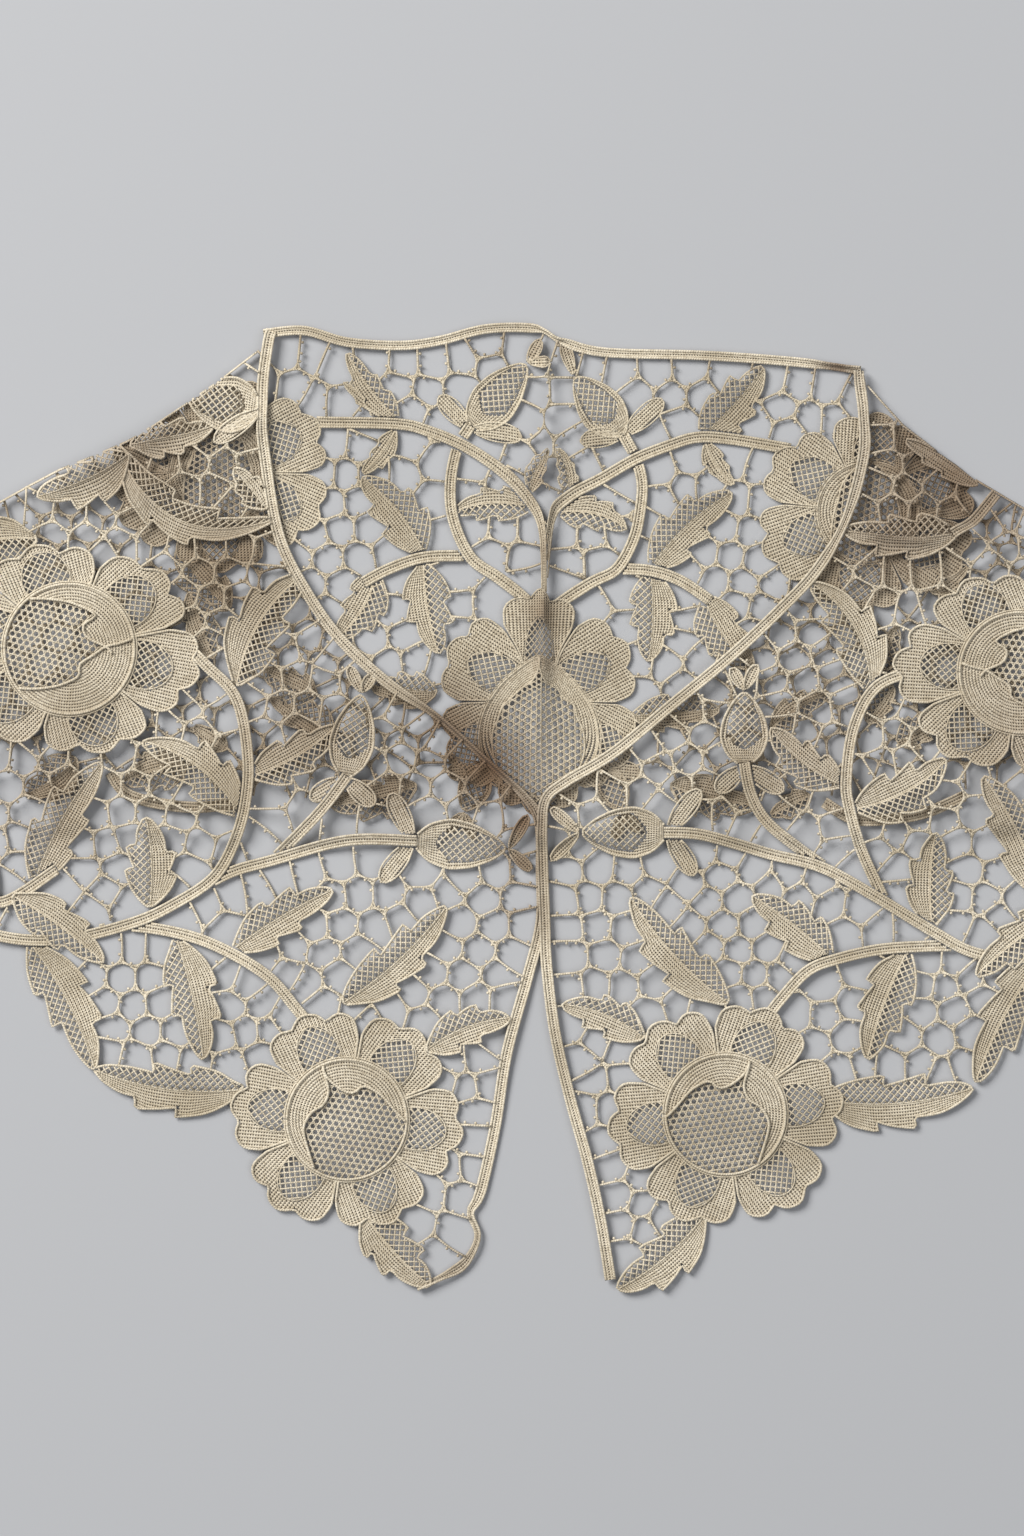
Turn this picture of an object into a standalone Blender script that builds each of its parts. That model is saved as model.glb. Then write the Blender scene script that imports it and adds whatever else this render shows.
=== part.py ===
"""Needle-lace V-necked collar, laid flat and folded at the shoulders.

The back lies underneath, wrong side up, and the two fronts lie on it. Each panel is flowers, leaves, buds and
stems of close stitching, joined by a ground of open cells. The plan is in millimetres, X to the right and Y
towards the back of the neck, and the surface the collar rests on is z = 0. PLAN_CENTRE is the middle of the plan,
and each object is moved by it, so that the collar lies round the origin.
"""

import math
from collections import namedtuple

import bpy
import numpy as np
from mathutils import Vector
from mathutils.geometry import delaunay_2d_cdt

MM = 0.001
PLAN_CENTRE = (-0.2, 2.25)

# Thicknesses and heights
WALL = 1.1
MOTIF_RELIEF = 0.35
RING_RELIEF = 0.8
LAYER_GAP = 0.3
SEAM_GAP = 0.3
LIFT = WALL + MOTIF_RELIEF + LAYER_GAP
RAMP_START = 1.0
RAMP_END = 7.0
FOLD_LIP = 1.3
FOLD_RISE = 1.3
FOLD_DROP = 0.9

# Tapes
TAPE_WIDTH = 4.0
TAPE_HEIGHT = 1.4
TAPE_BEVEL = 0.5
TAPE_STEP = 9.0

# Ground of open cells
CELL_PITCH = 11.5
BRIDE_WIDTH = 1.3
LEAST_GAP = 4.0
MOST_GAPS = {"back_panel": 62, "front_left": 118, "front_right": 118}
RASTER = 1.5
RELAX_ROUNDS = 10
MERGE_CORNERS = 1.6
LEAST_TURN = 0.3

# Motifs
STEM_WIDTH = 4.0
STEM_STEP = 9.0
RING_WIDTH = 3.4
RING_SIDES = 20

Leaf = namedtuple("Leaf", "base tip width bend")
Bud = namedtuple("Bud", "base tip width sepals")
Flower = namedtuple("Flower", "centre reach_x reach_y disc turn")

# Half-widths along a leaf, as shares of its length and of half its width: two teeth on each side
LEAF_LEFT_EDGE = ((0.0, 0.14), (0.16, 0.66), (0.40, 1.0), (0.43, 0.72), (0.67, 0.84), (0.70, 0.54), (0.86, 0.34))
LEAF_RIGHT_EDGE = ((0.0, 0.14), (0.14, 0.60), (0.33, 0.96), (0.36, 0.70), (0.57, 0.92), (0.60, 0.62), (0.82, 0.38))
BUD_EDGE = ((0.0, 0.16), (0.16, 0.74), (0.38, 1.0), (0.62, 0.86), (0.84, 0.48))
SEPAL_EDGE = ((0.0, 0.2), (0.35, 0.9), (0.7, 1.0), (0.92, 0.6))
SEPAL_WIDTH = 6.0

PETALS = 6
# One petal's rim, as shares of half its angle and of the flower's reach: three scallops
PETAL_RIM = (
    (-0.98, 0.74), (-0.84, 0.90), (-0.58, 0.95), (-0.34, 0.89),
    (-0.20, 0.97), (0.06, 1.0), (0.30, 0.92),
    (0.52, 0.96), (0.78, 0.92), (0.94, 0.78),
)

# Edges of the laid collar
LEFT_EDGE = (
    (-80.5, 141), (-82.5, 124), (-81, 103), (-77, 82), (-69, 66), (-59, 52), (-45, 39), (-29, 28),
    (-14, 16), (-4, 6), (-3.6, -6), (-3.4, -20), (-2.7, -33), (-5, -50), (-9, -72), (-12.5, -94),
    (-17, -114), (-20, -120), (-17.7, -127), (-21.6, -135), (-29, -139.5),
)
RIGHT_EDGE = (
    (96.5, 129.9), (97.5, 120), (97.5, 106), (92.5, 88), (84, 73), (72, 60), (57, 46), (40, 32),
    (23, 18), (9, 9), (2.2, 1), (2.0, -14), (2.0, -30), (2.4, -46), (5.4, -66), (10, -86),
    (15, -104), (19, -122), (22, -140),
)
BACK_NECK = (
    (-82, 143.5), (-70, 144.5), (-57, 141), (-41, 140), (-29, 141.5), (-15, 145), (0, 145), (7, 141.5),
    (20, 138), (50, 137), (78, 135), (97, 132.5),
)
LEFT_FOLD = ((-84, 138), (-97, 128), (-122, 112), (-143, 103), (-161, 93), (-185, 79), (-205, 67))
RIGHT_FOLD = ((99, 128), (110, 116), (131, 100), (146, 91), (165, 82), (185, 74), (205, 66))

# The hem of each ground, inside the motifs that make the lower edge
LEFT_HEM = (
    (-31, -139), (-43, -132), (-57, -92), (-92, -84), (-128, -77), (-134, -72), (-151, -42), (-161, -37),
    (-180, -20), (-192, 4), (-199, 30), (-203, 52),
)
RIGHT_HEM = (
    (26, -138), (43, -132), (57, -90), (92, -86), (128, -82), (134, -77), (151, -45), (161, -38),
    (180, -20), (192, 4), (199, 30), (203, 52),
)
BACK_HEM = (
    (200, 62), (190, 34), (168, 14), (140, 8), (112, 6), (84, 5), (50, 4), (20, 5), (0, 5),
    (-24, 5), (-50, 4), (-84, 5), (-112, 6), (-140, 8), (-168, 14), (-190, 34), (-200, 62),
)
BACK_REACH = 10.0
FOLD_STEP = 12.0
HEM_STEP = 25.0
NECK_STEP = 6.0

# The fronts' motifs, each side as the photo shows it
LEFT_LEAVES = (
    Leaf((-157, -25), (-130, -45), 13, 1),
    Leaf((-151, -22), (-130.5, 15), 15, 2),
    Leaf((-116, -28), (-117, -1.5), 15, -1),
    Leaf((-152, -39), (-132.5, -77), 15, 2),
    Leaf((-108, -38), (-100, -74), 15, 1),
    Leaf((-88, -83), (-133, -77), 15, 3),
    Leaf((-91, -41), (-61, -23), 13, 1),
    Leaf((-58, -57), (-27, -28), 14, -2),
    Leaf((-33, -71), (-8, -61.5), 12, 2),
    Leaf((-90, 38), (-69, 72), 16.5, 4),
    Leaf((-89, -1), (-118, 21.5), 15.5, -4),
    Leaf((-86, 11), (-60, 26), 13, -2),
    Leaf((-122, 107), (-150, 95), 15, 2),
    Leaf((-150, 82), (-178, 76), 14, -2),
    Leaf((-163, -28), (-175, 12), 14, 3),
    Leaf((-166, -38), (-194, -4), 15, 2),
    Leaf((-191, 2), (-203, 56), 15, 2),
    Leaf((-52, -120), (-32, -142), 15, -1),
    Leaf((-126, 110), (-78, 88), 13, -12.5),
    Leaf((-122, 110.5), (-97, 116), 11, -1),
    Leaf((-81, 91), (-90.5, 103), 9, 0),
)
RIGHT_LEAVES = (
    Leaf((158, -29), (131.5, -49), 13, -1),
    Leaf((152, -26), (133.5, 11), 15, -2),
    Leaf((118.5, -34), (119.5, -6), 14, 1),
    Leaf((153, -42), (131.5, -81), 15, -2),
    Leaf((111, -41.5), (99, -74), 15, -1),
    Leaf((84.5, -86), (131, -82.5), 16, -3),
    Leaf((88.5, -44), (64.5, -25), 14, -1),
    Leaf((57, -57), (28, -25.5), 14.5, 2),
    Leaf((32, -67.5), (7.5, -57.5), 12, -2),
    Leaf((100, 36), (82, 69), 15, -5),
    Leaf((95, 1), (122.5, 16), 15, -3),
    Leaf((91, 8), (70, 25.5), 13, 2),
    Leaf((125.5, 83), (91.5, 84.5), 13, 1),
    Leaf((132, 98), (110.5, 112), 6.5, 0),
    Leaf((150, 82), (178, 76), 14, 2),
    Leaf((163, -28), (175, 12), 14, -3),
    Leaf((166, -38), (194, -4), 15, -2),
    Leaf((191, 2), (203, 56), 15, -2),
    Leaf((50, -121), (24, -143), 15, 2),
)
LEFT_BUDS = (
    Bud((-37, -8.5), (-8.5, -11), 15, ((-44, 6), (-47, -21))),
    Bud((-57.5, 10.5), (-52.5, 36), 13.5, ((-68, 4), (-48.5, 2))),
    Bud((-82.5, 121), (-105, 124), 17, ((-97, 111),)),
)
RIGHT_BUDS = (
    Bud((39, -6), (12.7, -6), 15.5, ((49, 7), (47.5, -19))),
    Bud((62, 14), (62, 36.7), 14.5, ((53.5, 6), (74, 6))),
)
LEFT_FLOWERS = (
    Flower((-57, -92), 35, 33.5, 18, 52),
    Flower((-140, 49), 40, 32, 19.5, 45),
)
RIGHT_FLOWERS = (
    Flower((56.5, -90.5), 35.5, 34, 18, 128),
    Flower((144.5, 42), 38, 30.5, 18, 54),
)
LEFT_STEMS = (
    ((-178, -30), (-161, -37), (-142, -38), (-121, -33), (-108, -27), (-97, -19.5), (-91, -9.5), (-87.5, 2),
     (-86.5, 16), (-90, 34), (-100, 45)),
    ((-104, -24.5), (-92, -18), (-80, -14.5), (-57, -8.5), (-36, -8.5)),
    ((-80, -15), (-66, -1), (-57, 11)),
    ((-134, -36), (-122, -34), (-101, -38), (-82, -48), (-72, -59)),
    ((-172, -20), (-161, -27), (-144, -17)),
)
RIGHT_STEMS = (
    ((178, -30), (161, -39), (146, -43.5), (131, -42), (118.5, -35.5), (102, -25.5), (85.5, -16.5), (70, -12.5),
     (60, -9.5), (48.5, -6.5), (38, -6)),
    ((105, -28), (97.5, -12), (93.5, 1), (92.5, 10), (95, 26), (102, 38), (115, 43)),
    ((86, -16), (79.5, -11.5), (69, -3), (64, 5.5), (62, 15)),
    ((127, -40), (118, -40), (103, -41), (89.5, -44), (81, -47.5), (73, -56)),
    ((172, -22), (163, -31), (151, -24)),
    ((124, 83), (131, 88), (137.5, 95.5)),
)

# The back's motifs: its two halves lie unevenly
BACK_LEAVES = (
    Leaf((-40, 118), (-57, 138), 12, 1),
    Leaf((-42.5, 114.5), (-52.5, 101.5), 6.5, 1),
    Leaf((-34, 78), (-52.5, 100.5), 15, -2),
    Leaf((-3.5, 91.5), (-25, 90), 10, -2),
    Leaf((-4, 96), (5, 110), 9, 1),
    Leaf((-34, 75), (-29.5, 47.5), 14, -1),
    Leaf((-48, 72), (-60, 52), 13, 2),
    Leaf((-30, 36), (-50, 38), 11, 0),
    Leaf((-36, 8), (-62, 2), 13, 1),
    Leaf((-66, 35), (-82, 43), 11, 1),
    Leaf((-61, 22), (-80, 35), 12, -1),
    Leaf((-93, 19), (-103, 26), 7, 0),
    Leaf((-105, 14), (-124, 9), 13, -1),
    Leaf((-138, 16), (-154, 5), 13, 1),
    Leaf((-104, 66), (-97, 46), 11, 0),
    Leaf((-172, 24), (-196, 48), 14, 2),
    Leaf((-92, 61), (-108, 79), 13, 1),
    Leaf((49, 112.5), (68, 133.5), 14, -1),
    Leaf((50.5, 111), (59, 98), 6.5, -1),
    Leaf((34, 73), (58.5, 96), 14.5, 2),
    Leaf((8.5, 90), (27, 85), 10, 2),
    Leaf((11.5, 95), (6.5, 110.5), 9, -1),
    Leaf((34, 72.5), (33.5, 45), 14, 1),
    Leaf((50, 65), (65, 43), 14, -2),
    Leaf((28.5, 29), (55, 31), 11, 0),
    Leaf((40, 8), (66, 2), 13, -1),
    Leaf((82, 5), (70, -1), 8, 0),
    Leaf((70, 25), (88, 36), 9, 1),
    Leaf((99, 27), (107, 38), 8, 0),
    Leaf((103, 42), (108, 56), 8, 0),
    Leaf((108, 21), (122, 29), 10, 0),
    Leaf((176, 24), (200, 48), 14, -2),
    Leaf((118, 66), (129, 74), 8, 0),
)
BACK_BUDS = (
    Bud((-20, 115), (-3, 135), 14, ((-29.5, 125), (-5, 113.5))),
    Bud((-16, 13), (-22, 0), 10, ((-27, 12), (-8, 9))),
    Bud((26, 113), (11, 131), 13.5, ((38, 124), (13.5, 112))),
    Bud((20, 13), (26, 0), 10, ((31, 12), (12, 9))),
)
BACK_FLOWERS = (
    Flower((-95, 102), 34, 30, 15, 30),
    Flower((0.5, 33), 31, 34, 17, 90),
    Flower((99, 90), 34, 30, 15, 24),
)
BACK_STEMS = (
    ((-66, 117), (-42, 116.5), (-33, 114.5), (-22, 110), (-12.5, 103.5), (-5, 95), (1, 84.5), (2.5, 66)),
    ((-20, 116), (-24, 109), (-26, 98), (-25, 87.5), (-20, 76.5), (-12.5, 70.5), (-3, 62)),
    ((-22, 77), (-34, 76.5), (-44.5, 73), (-52, 69)),
    ((-128, 12), (-122, 5), (-105, 1.5), (-90, 2.5)),
    ((76, 109), (58, 112), (48, 112.5), (39.5, 110), (29.5, 106), (19.5, 100), (11, 94.5), (5.5, 87), (2.5, 66)),
    ((26, 113), (29.5, 106.5), (31.5, 99), (31, 91), (29, 82), (24, 73), (17, 69), (7, 61.5)),
    ((25, 73), (34, 72.5), (43, 69.5), (52, 63.5)),
    ((86, 3), (95, -2), (106, -2), (117, 0), (128, 5)),
)

ECRU = (0.80, 0.71, 0.55, 1.0)
ECRU_WRONG_SIDE = (0.70, 0.60, 0.44, 1.0)
ECRU_TAPE = (0.84, 0.76, 0.62, 1.0)


# Plan geometry, in millimetres


def smooth_path(points, step):
    """Points about step apart along a Catmull-Rom curve through the given points."""
    knots = np.array([points[0], *points, points[-1]], float)
    found = [knots[1]]
    for k in range(1, len(knots) - 2):
        before, start, end, after = knots[k - 1 : k + 3]
        pieces = max(1, round(np.linalg.norm(end - start) / step))
        for t in np.arange(1, pieces + 1) / pieces:
            found.append(
                0.5 * (2 * start + (end - before) * t + (2 * before - 5 * start + 4 * end - after) * t**2
                       + (3 * start - before - 3 * end + after) * t**3)
            )
    return np.array(found)


def left_normals(path):
    along = np.gradient(path, axis=0)
    along /= np.linalg.norm(along, axis=1)[:, None]
    return np.column_stack([-along[:, 1], along[:, 0]])


def shifted(path, distance):
    """The path moved to its left by the distance."""
    return path + left_normals(path) * distance


def blade(base, tip, width, bend, left_edge, right_edge):
    """A leaf-like outline round a bent midrib."""
    base, tip = np.array(base, float), np.array(tip, float)
    run = tip - base
    across = np.array([-run[1], run[0]]) / np.linalg.norm(run)

    def at(along, offset):
        return base + run * along + across * (bend * 4 * along * (1 - along) + offset * width / 2)

    left = [at(t, w) for t, w in left_edge]
    right = [at(t, -w) for t, w in right_edge]
    return np.array([*right, tip, *reversed(left)])


def leaf_outline(leaf):
    return blade(*leaf, LEAF_LEFT_EDGE, LEAF_RIGHT_EDGE)


def bud_outlines(bud):
    outlines = [blade(bud.base, bud.tip, bud.width, 0, BUD_EDGE, BUD_EDGE)]
    for tip in bud.sepals:
        outlines.append(blade(bud.base, tip, SEPAL_WIDTH, 0, SEPAL_EDGE, SEPAL_EDGE))
    return outlines


def stem_outline(points):
    path = smooth_path(points, STEM_STEP)
    return np.concatenate([shifted(path, -STEM_WIDTH / 2), shifted(path, STEM_WIDTH / 2)[::-1]])


def flower_outline(flower):
    half = math.pi / PETALS
    turns = [
        (math.radians(flower.turn) + 2 * half * petal + half * share, reach)
        for petal in range(PETALS)
        for share, reach in PETAL_RIM
    ]
    return np.array([
        (flower.centre[0] + flower.reach_x * reach * math.cos(turn),
         flower.centre[1] + flower.reach_y * reach * math.sin(turn))
        for turn, reach in turns
    ])


def circle(centre, radius, sides):
    turn = 2 * math.pi * np.arange(sides) / sides
    return np.column_stack([centre[0] + radius * np.cos(turn), centre[1] + radius * np.sin(turn)])


def outlines_of(leaves, buds, flowers, stems):
    outlines = [leaf_outline(leaf) for leaf in leaves]
    for bud in buds:
        outlines += bud_outlines(bud)
    outlines += [flower_outline(flower) for flower in flowers]
    return outlines + [stem_outline(stem) for stem in stems]


def inside(points, polygon):
    """Which points lie in the polygon, by the crossings of a line to the right."""
    x, y = points[:, 0], points[:, 1]
    found = np.zeros(len(points), bool)
    for (x0, y0), (x1, y1) in zip(polygon, np.roll(polygon, -1, axis=0)):
        if y0 != y1:
            crosses = (y0 > y) != (y1 > y)
            found ^= crosses & (x < x0 + (y - y0) * (x1 - x0) / (y1 - y0))
    return found


def in_any(points, polygons):
    found = np.zeros(len(points), bool)
    for polygon in polygons:
        near = np.flatnonzero(((points > polygon.min(axis=0)) & (points < polygon.max(axis=0))).all(axis=1))
        found[near] |= inside(points[near], polygon)
    return found


def covers(triangle, points):
    """Whether a triangle holds any of the points, apart from its own corners."""
    sides = np.array([
        (e[0] - s[0]) * (points[:, 1] - s[1]) - (e[1] - s[1]) * (points[:, 0] - s[0])
        for s, e in zip(triangle, np.roll(triangle, -1, axis=0))
    ])
    within = (sides >= -1e-6).all(axis=0) | (sides <= 1e-6).all(axis=0)
    own = (np.abs(points[:, None] - triangle[None]).max(axis=2) < 1e-9).any(axis=1)
    return bool((within & ~own).any())


def distance_to(points, path):
    """Each point's distance to an open path."""
    nearest = np.full(len(points), np.inf)
    for start, end in zip(path[:-1], path[1:]):
        run = end - start
        share = np.clip((points - start) @ run / max(run @ run, 1e-9), 0, 1)
        nearest = np.minimum(nearest, np.linalg.norm(points - start - share[:, None] * run, axis=1))
    return nearest


# The ground of open cells


def cell_seeds(ground, motifs, seed):
    """Cell centres spread evenly over what the motifs leave free of the ground."""
    random = np.random.default_rng(seed)
    low, high = ground.min(axis=0), ground.max(axis=0)
    grid = np.stack(np.meshgrid(*(np.arange(a, b, RASTER) for a, b in zip(low, high))), axis=-1).reshape(-1, 2)
    free = inside(grid, ground)
    for motif in motifs:
        free &= ~inside(grid, motif)
    grid = grid[free]
    rows = np.arange(low[1], high[1], CELL_PITCH * math.sqrt(3) / 2)
    seeds = np.array([
        (x + (row % 2) * CELL_PITCH / 2, y)
        for row, y in enumerate(rows)
        for x in np.arange(low[0], high[0], CELL_PITCH)
    ])
    seeds += random.uniform(-0.12, 0.12, seeds.shape) * CELL_PITCH
    nearest = np.min(((grid[:, None] - seeds[None]) ** 2).sum(axis=2), axis=0)
    seeds = seeds[nearest < RASTER**2]
    for _ in range(RELAX_ROUNDS):
        nearest = np.argmin(((grid[:, None] - seeds[None]) ** 2).sum(axis=2), axis=1)
        count = np.bincount(nearest, minlength=len(seeds))
        sums = np.column_stack([np.bincount(nearest, grid[:, axis], len(seeds)) for axis in (0, 1)])
        held = count > 0
        seeds = sums[held] / count[held, None]
    return seeds


def cell_corners(seeds, index, inset):
    """The cell round one seed, cut back from its neighbours by the inset."""
    centre = seeds[index]
    reach = 0.95 * CELL_PITCH
    corners = centre + reach * np.array([(-1, -1), (1, -1), (1, 1), (-1, 1)])
    offsets = np.delete(seeds, index, axis=0) - centre
    gaps = np.linalg.norm(offsets, axis=1)
    for offset, gap in zip(offsets, gaps):
        if gap > 2.9 * CELL_PITCH:
            continue
        side = (corners - centre) @ (offset / gap) - (gap / 2 - inset)
        kept = []
        for k in range(len(corners)):
            nxt = (k + 1) % len(corners)
            if side[k] <= 0:
                kept.append(corners[k])
            if (side[k] < 0) != (side[nxt] < 0) and side[k] != side[nxt]:
                kept.append(corners[k] + (corners[nxt] - corners[k]) * side[k] / (side[k] - side[nxt]))
        if len(kept) < 3:
            return np.empty((0, 2))
        corners = np.array(kept)
    return merged_corners(corners)


def merged_corners(corners):
    """The outline with corners that nearly meet made one."""
    kept = []
    for corner in corners:
        if kept and np.linalg.norm(corner - kept[-1]) < MERGE_CORNERS:
            kept[-1] = (kept[-1] + corner) / 2
        else:
            kept.append(corner)
    if len(kept) > 3 and np.linalg.norm(kept[0] - kept[-1]) < MERGE_CORNERS:
        kept[0] = (kept[0] + kept.pop()) / 2
    return np.array(kept)


# Panels: a plan cut into triangles, then given a top, an underside and walls


class Plan:
    """The plan of one panel, with the triangles it is made of."""

    def __init__(self, limit, ground, motifs, cells, lines, raised):
        points, edges = [], []
        for outline in (limit, ground, *motifs, *cells):
            first, count = len(points), len(outline)
            points += list(outline)
            edges += [(first + k, first + (k + 1) % count) for k in range(count)]
        rim_edges = len(edges)
        for line in lines:
            first = len(points)
            points += list(line)
            edges += [(first + k, first + k + 1) for k in range(len(line) - 1)]
        found = delaunay_2d_cdt([Vector(p) for p in points], edges, [], 0, 1e-4, True)
        self.points = np.array([tuple(p) for p in found[0]])
        self.triangles = np.array(found[2])
        centres = self.points[self.triangles].mean(axis=1)
        in_limit, in_ground = inside(centres, limit), inside(centres, ground)
        self.motif = in_limit & in_any(centres, motifs)
        self.raised = in_limit & in_any(centres, raised)
        in_cell = in_any(centres, cells)
        self.gap = in_limit & in_ground & ~self.motif & in_cell
        self.kept = self.motif | (in_limit & in_ground & ~in_cell)
        self.line_edges = {
            tuple(sorted(edge)) for edge, owners in zip(found[1], found[4]) if max(owners, default=0) >= rim_edges
        }

    def neighbours(self):
        """The one or two triangles at each edge."""
        seen = {}
        for index, triangle in enumerate(self.triangles):
            for a, b in zip(triangle, np.roll(triangle, -1)):
                seen.setdefault(tuple(sorted((int(a), int(b)))), []).append(index)
        return seen

    def areas(self):
        a, b, c = (self.points[self.triangles[:, k]] for k in range(3))
        return 0.5 * np.abs((b - a)[:, 0] * (c - a)[:, 1] - (b - a)[:, 1] * (c - a)[:, 0])

    def groups(self, chosen):
        """The chosen triangles, in groups that share edges."""
        parent = {int(t): int(t) for t in np.flatnonzero(chosen)}

        def root(t):
            while parent[t] != t:
                parent[t] = parent[parent[t]]
                t = parent[t]
            return t

        for pair in self.neighbours().values():
            if len(pair) == 2 and pair[0] in parent and pair[1] in parent:
                parent[root(pair[0])] = root(pair[1])
        found = {}
        for t in parent:
            found.setdefault(root(t), []).append(t)
        return list(found.values())

    def close_small_gaps(self, most, shown):
        """Fills the gaps that are narrow or hidden, and all but the largest of the others."""
        areas = self.areas()
        seen = self.neighbours()
        gaps, closed = [], []
        for group in self.groups(self.gap):
            members = set(group)
            rim = sum(
                np.linalg.norm(self.points[a] - self.points[b])
                for (a, b), pair in seen.items()
                if len(members.intersection(pair)) == 1
            )
            area = areas[group].sum()
            middle = self.points[self.triangles[group]].mean(axis=(0, 1))
            hidden = shown is not None and not inside(middle[None], shown)[0]
            (closed if hidden or 4 * area / rim < LEAST_GAP else gaps).append((area, group))
        gaps.sort(key=lambda gap: -gap[0])
        for _, group in closed + gaps[most:]:
            self.kept[group] = True

    def mend_pinches(self):
        """Leaves one body whose outline never meets itself at a corner."""
        areas = self.areas()
        changed = True
        while changed:
            around = {}
            for index in np.flatnonzero(self.kept):
                for corner in self.triangles[index]:
                    around.setdefault(int(corner), []).append(int(index))
            changed = False
            for corner, fan in around.items():
                parts = self.fan_parts(corner, fan)
                if len(parts) > 1:
                    parts.sort(key=lambda part: areas[part].sum())
                    for part in parts[:-1]:
                        self.kept[part] = False
                    changed = True
        body = max(self.groups(self.kept), key=lambda group: areas[group].sum())
        self.kept[:] = False
        self.kept[body] = True

    def fan_parts(self, corner, fan):
        left = set(fan)
        parts = []
        while left:
            part, todo = [], [left.pop()]
            while todo:
                t = todo.pop()
                part.append(t)
                mine = set(self.triangles[t]) - {corner}
                for other in list(left):
                    if mine & (set(self.triangles[other]) - {corner}):
                        left.remove(other)
                        todo.append(other)
            parts.append(part)
        return parts

    def keep_bar(self, line):
        """Closes the gaps along a folded edge for the width of its lip."""
        centres = self.points[self.triangles].mean(axis=1)
        bar = self.gap & (distance_to(centres, line) < FOLD_LIP)
        self.gap &= ~bar
        self.kept |= bar

    def settle(self, most, shown=None):
        self.close_small_gaps(most, shown)
        self.mend_pinches()

    def outlines(self, fixed):
        """The closed outlines of the kept plan, without corners that hardly turn, apart from the fixed ones."""
        follow = {}
        seen = self.neighbours()
        for triangle in self.triangles[self.kept]:
            for a, b in zip(triangle, np.roll(triangle, -1)):
                if self.kept[seen[tuple(sorted((int(a), int(b))))]].sum() == 1:
                    follow[int(a)] = int(b)
        corners = self.points[sorted({*follow, *fixed})]
        found = []
        while follow:
            loop = [next(iter(follow))]
            while loop[-1] in follow:
                loop.append(follow.pop(loop[-1]))
            found.append(self.thinned(loop[:-1], set(fixed), corners))
        return found

    def thinned(self, loop, held, corners):
        """The loop without the corners that hardly turn, unless its new side would pass over another corner."""
        while len(loop) > 4:
            places = self.points[loop]
            before, after = np.roll(places, 1, axis=0), np.roll(places, -1, axis=0)
            run, step = after - before, places - before
            turn = np.abs(run[:, 0] * step[:, 1] - run[:, 1] * step[:, 0]) / np.linalg.norm(run, axis=1)
            turn[[k in held for k in loop]] = np.inf
            least = int(turn.argmin())
            if turn[least] > LEAST_TURN:
                break
            ear = np.array([before[least], places[least], after[least]])
            near = ((corners >= ear.min(axis=0)) & (corners <= ear.max(axis=0))).all(axis=1)
            if covers(ear, corners[near]):
                held.add(loop[least])
            else:
                loop.pop(least)
        return loop

    def skin(self, outlines, extra):
        """Triangles over the kept plan that use its outlines and the extra edges alone."""
        rim = {tuple(sorted(edge)) for loop in outlines for edge in zip(loop, loop[1:] + loop[:1])}
        used = sorted({corner for edge in rim | extra for corner in edge})
        place = {corner: k for k, corner in enumerate(used)}
        edges = [(place[a], place[b]) for a, b in sorted(rim | extra)]
        found = delaunay_2d_cdt([Vector(self.points[c]) for c in used], edges, [], 0, 1e-6, True)
        back = np.array([used[held[0]] for held in found[3]])
        triangles = back[np.array(found[2])]
        centres = self.points[triangles].mean(axis=1)
        solid = np.zeros(len(centres), bool)
        for loop in outlines:
            solid ^= inside(centres, self.points[loop])
        return triangles[solid]

    def step_edges(self):
        """Edges round the flowers and leaves, where the top changes height."""
        return {
            edge
            for edge, pair in self.neighbours().items()
            if len(pair) == 2 and self.kept[pair].all() and self.raised[pair[0]] != self.raised[pair[1]]
        }

    def inner_line_edges(self):
        seen = self.neighbours()
        return {edge for edge in self.line_edges if edge in seen and self.kept[seen[edge]].all()}


def panel(name, plan, bottom_at, top_at, colour):
    """The closed solid of a plan between two height functions of place and of being in a motif."""
    lines, steps = plan.inner_line_edges(), plan.step_edges()
    outlines = plan.outlines({corner for edge in lines | steps for corner in edge})
    top = plan.skin(outlines, lines | steps)
    bottom = plan.skin(outlines, lines)
    in_motif = np.zeros(len(plan.points), bool)
    in_motif[np.unique(plan.triangles[plan.kept & plan.motif])] = True
    low, high = bottom_at(plan.points), top_at(plan.points, in_motif)
    corners, index, faces = [], {}, []

    def corner(side, k):
        if (side, k) not in index:
            index[side, k] = len(corners)
            height = high[k] if side else low[k]
            corners.append((*(plan.points[k] * MM), height * MM))
        return index[side, k]

    for side, skin in ((1, top), (0, bottom)):
        for a, b, c in skin:
            pa, pb, pc = plan.points[[a, b, c]]
            turn = (pb - pa)[0] * (pc - pa)[1] - (pb - pa)[1] * (pc - pa)[0]
            loop = (a, b, c) if (turn > 0) == bool(side) else (a, c, b)
            faces.append([corner(side, k) for k in loop])
    rim = {}
    for face in faces[: len(top)]:
        for a, b in zip(face, face[1:] + face[:1]):
            rim[a, b] = True
    under = {index[1, k]: index[0, k] for side, k in list(index) if side and (0, k) in index}
    for a, b in list(rim):
        if (b, a) not in rim:
            faces += [[b, a, under[a]], [b, under[a], under[b]]]
    add_object(name, corners, faces, colour)


def add_object(name, corners, faces, colour):
    mesh = bpy.data.meshes.new(name)
    mesh.from_pydata([tuple(c) for c in corners], [], [tuple(f) for f in faces])
    mesh.validate()
    obj = bpy.data.objects.new(name, mesh)
    obj.location = (-PLAN_CENTRE[0] * MM, -PLAN_CENTRE[1] * MM, 0)
    bpy.context.scene.collection.objects.link(obj)
    mesh.materials.append(cloth_material(name, colour))


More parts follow.
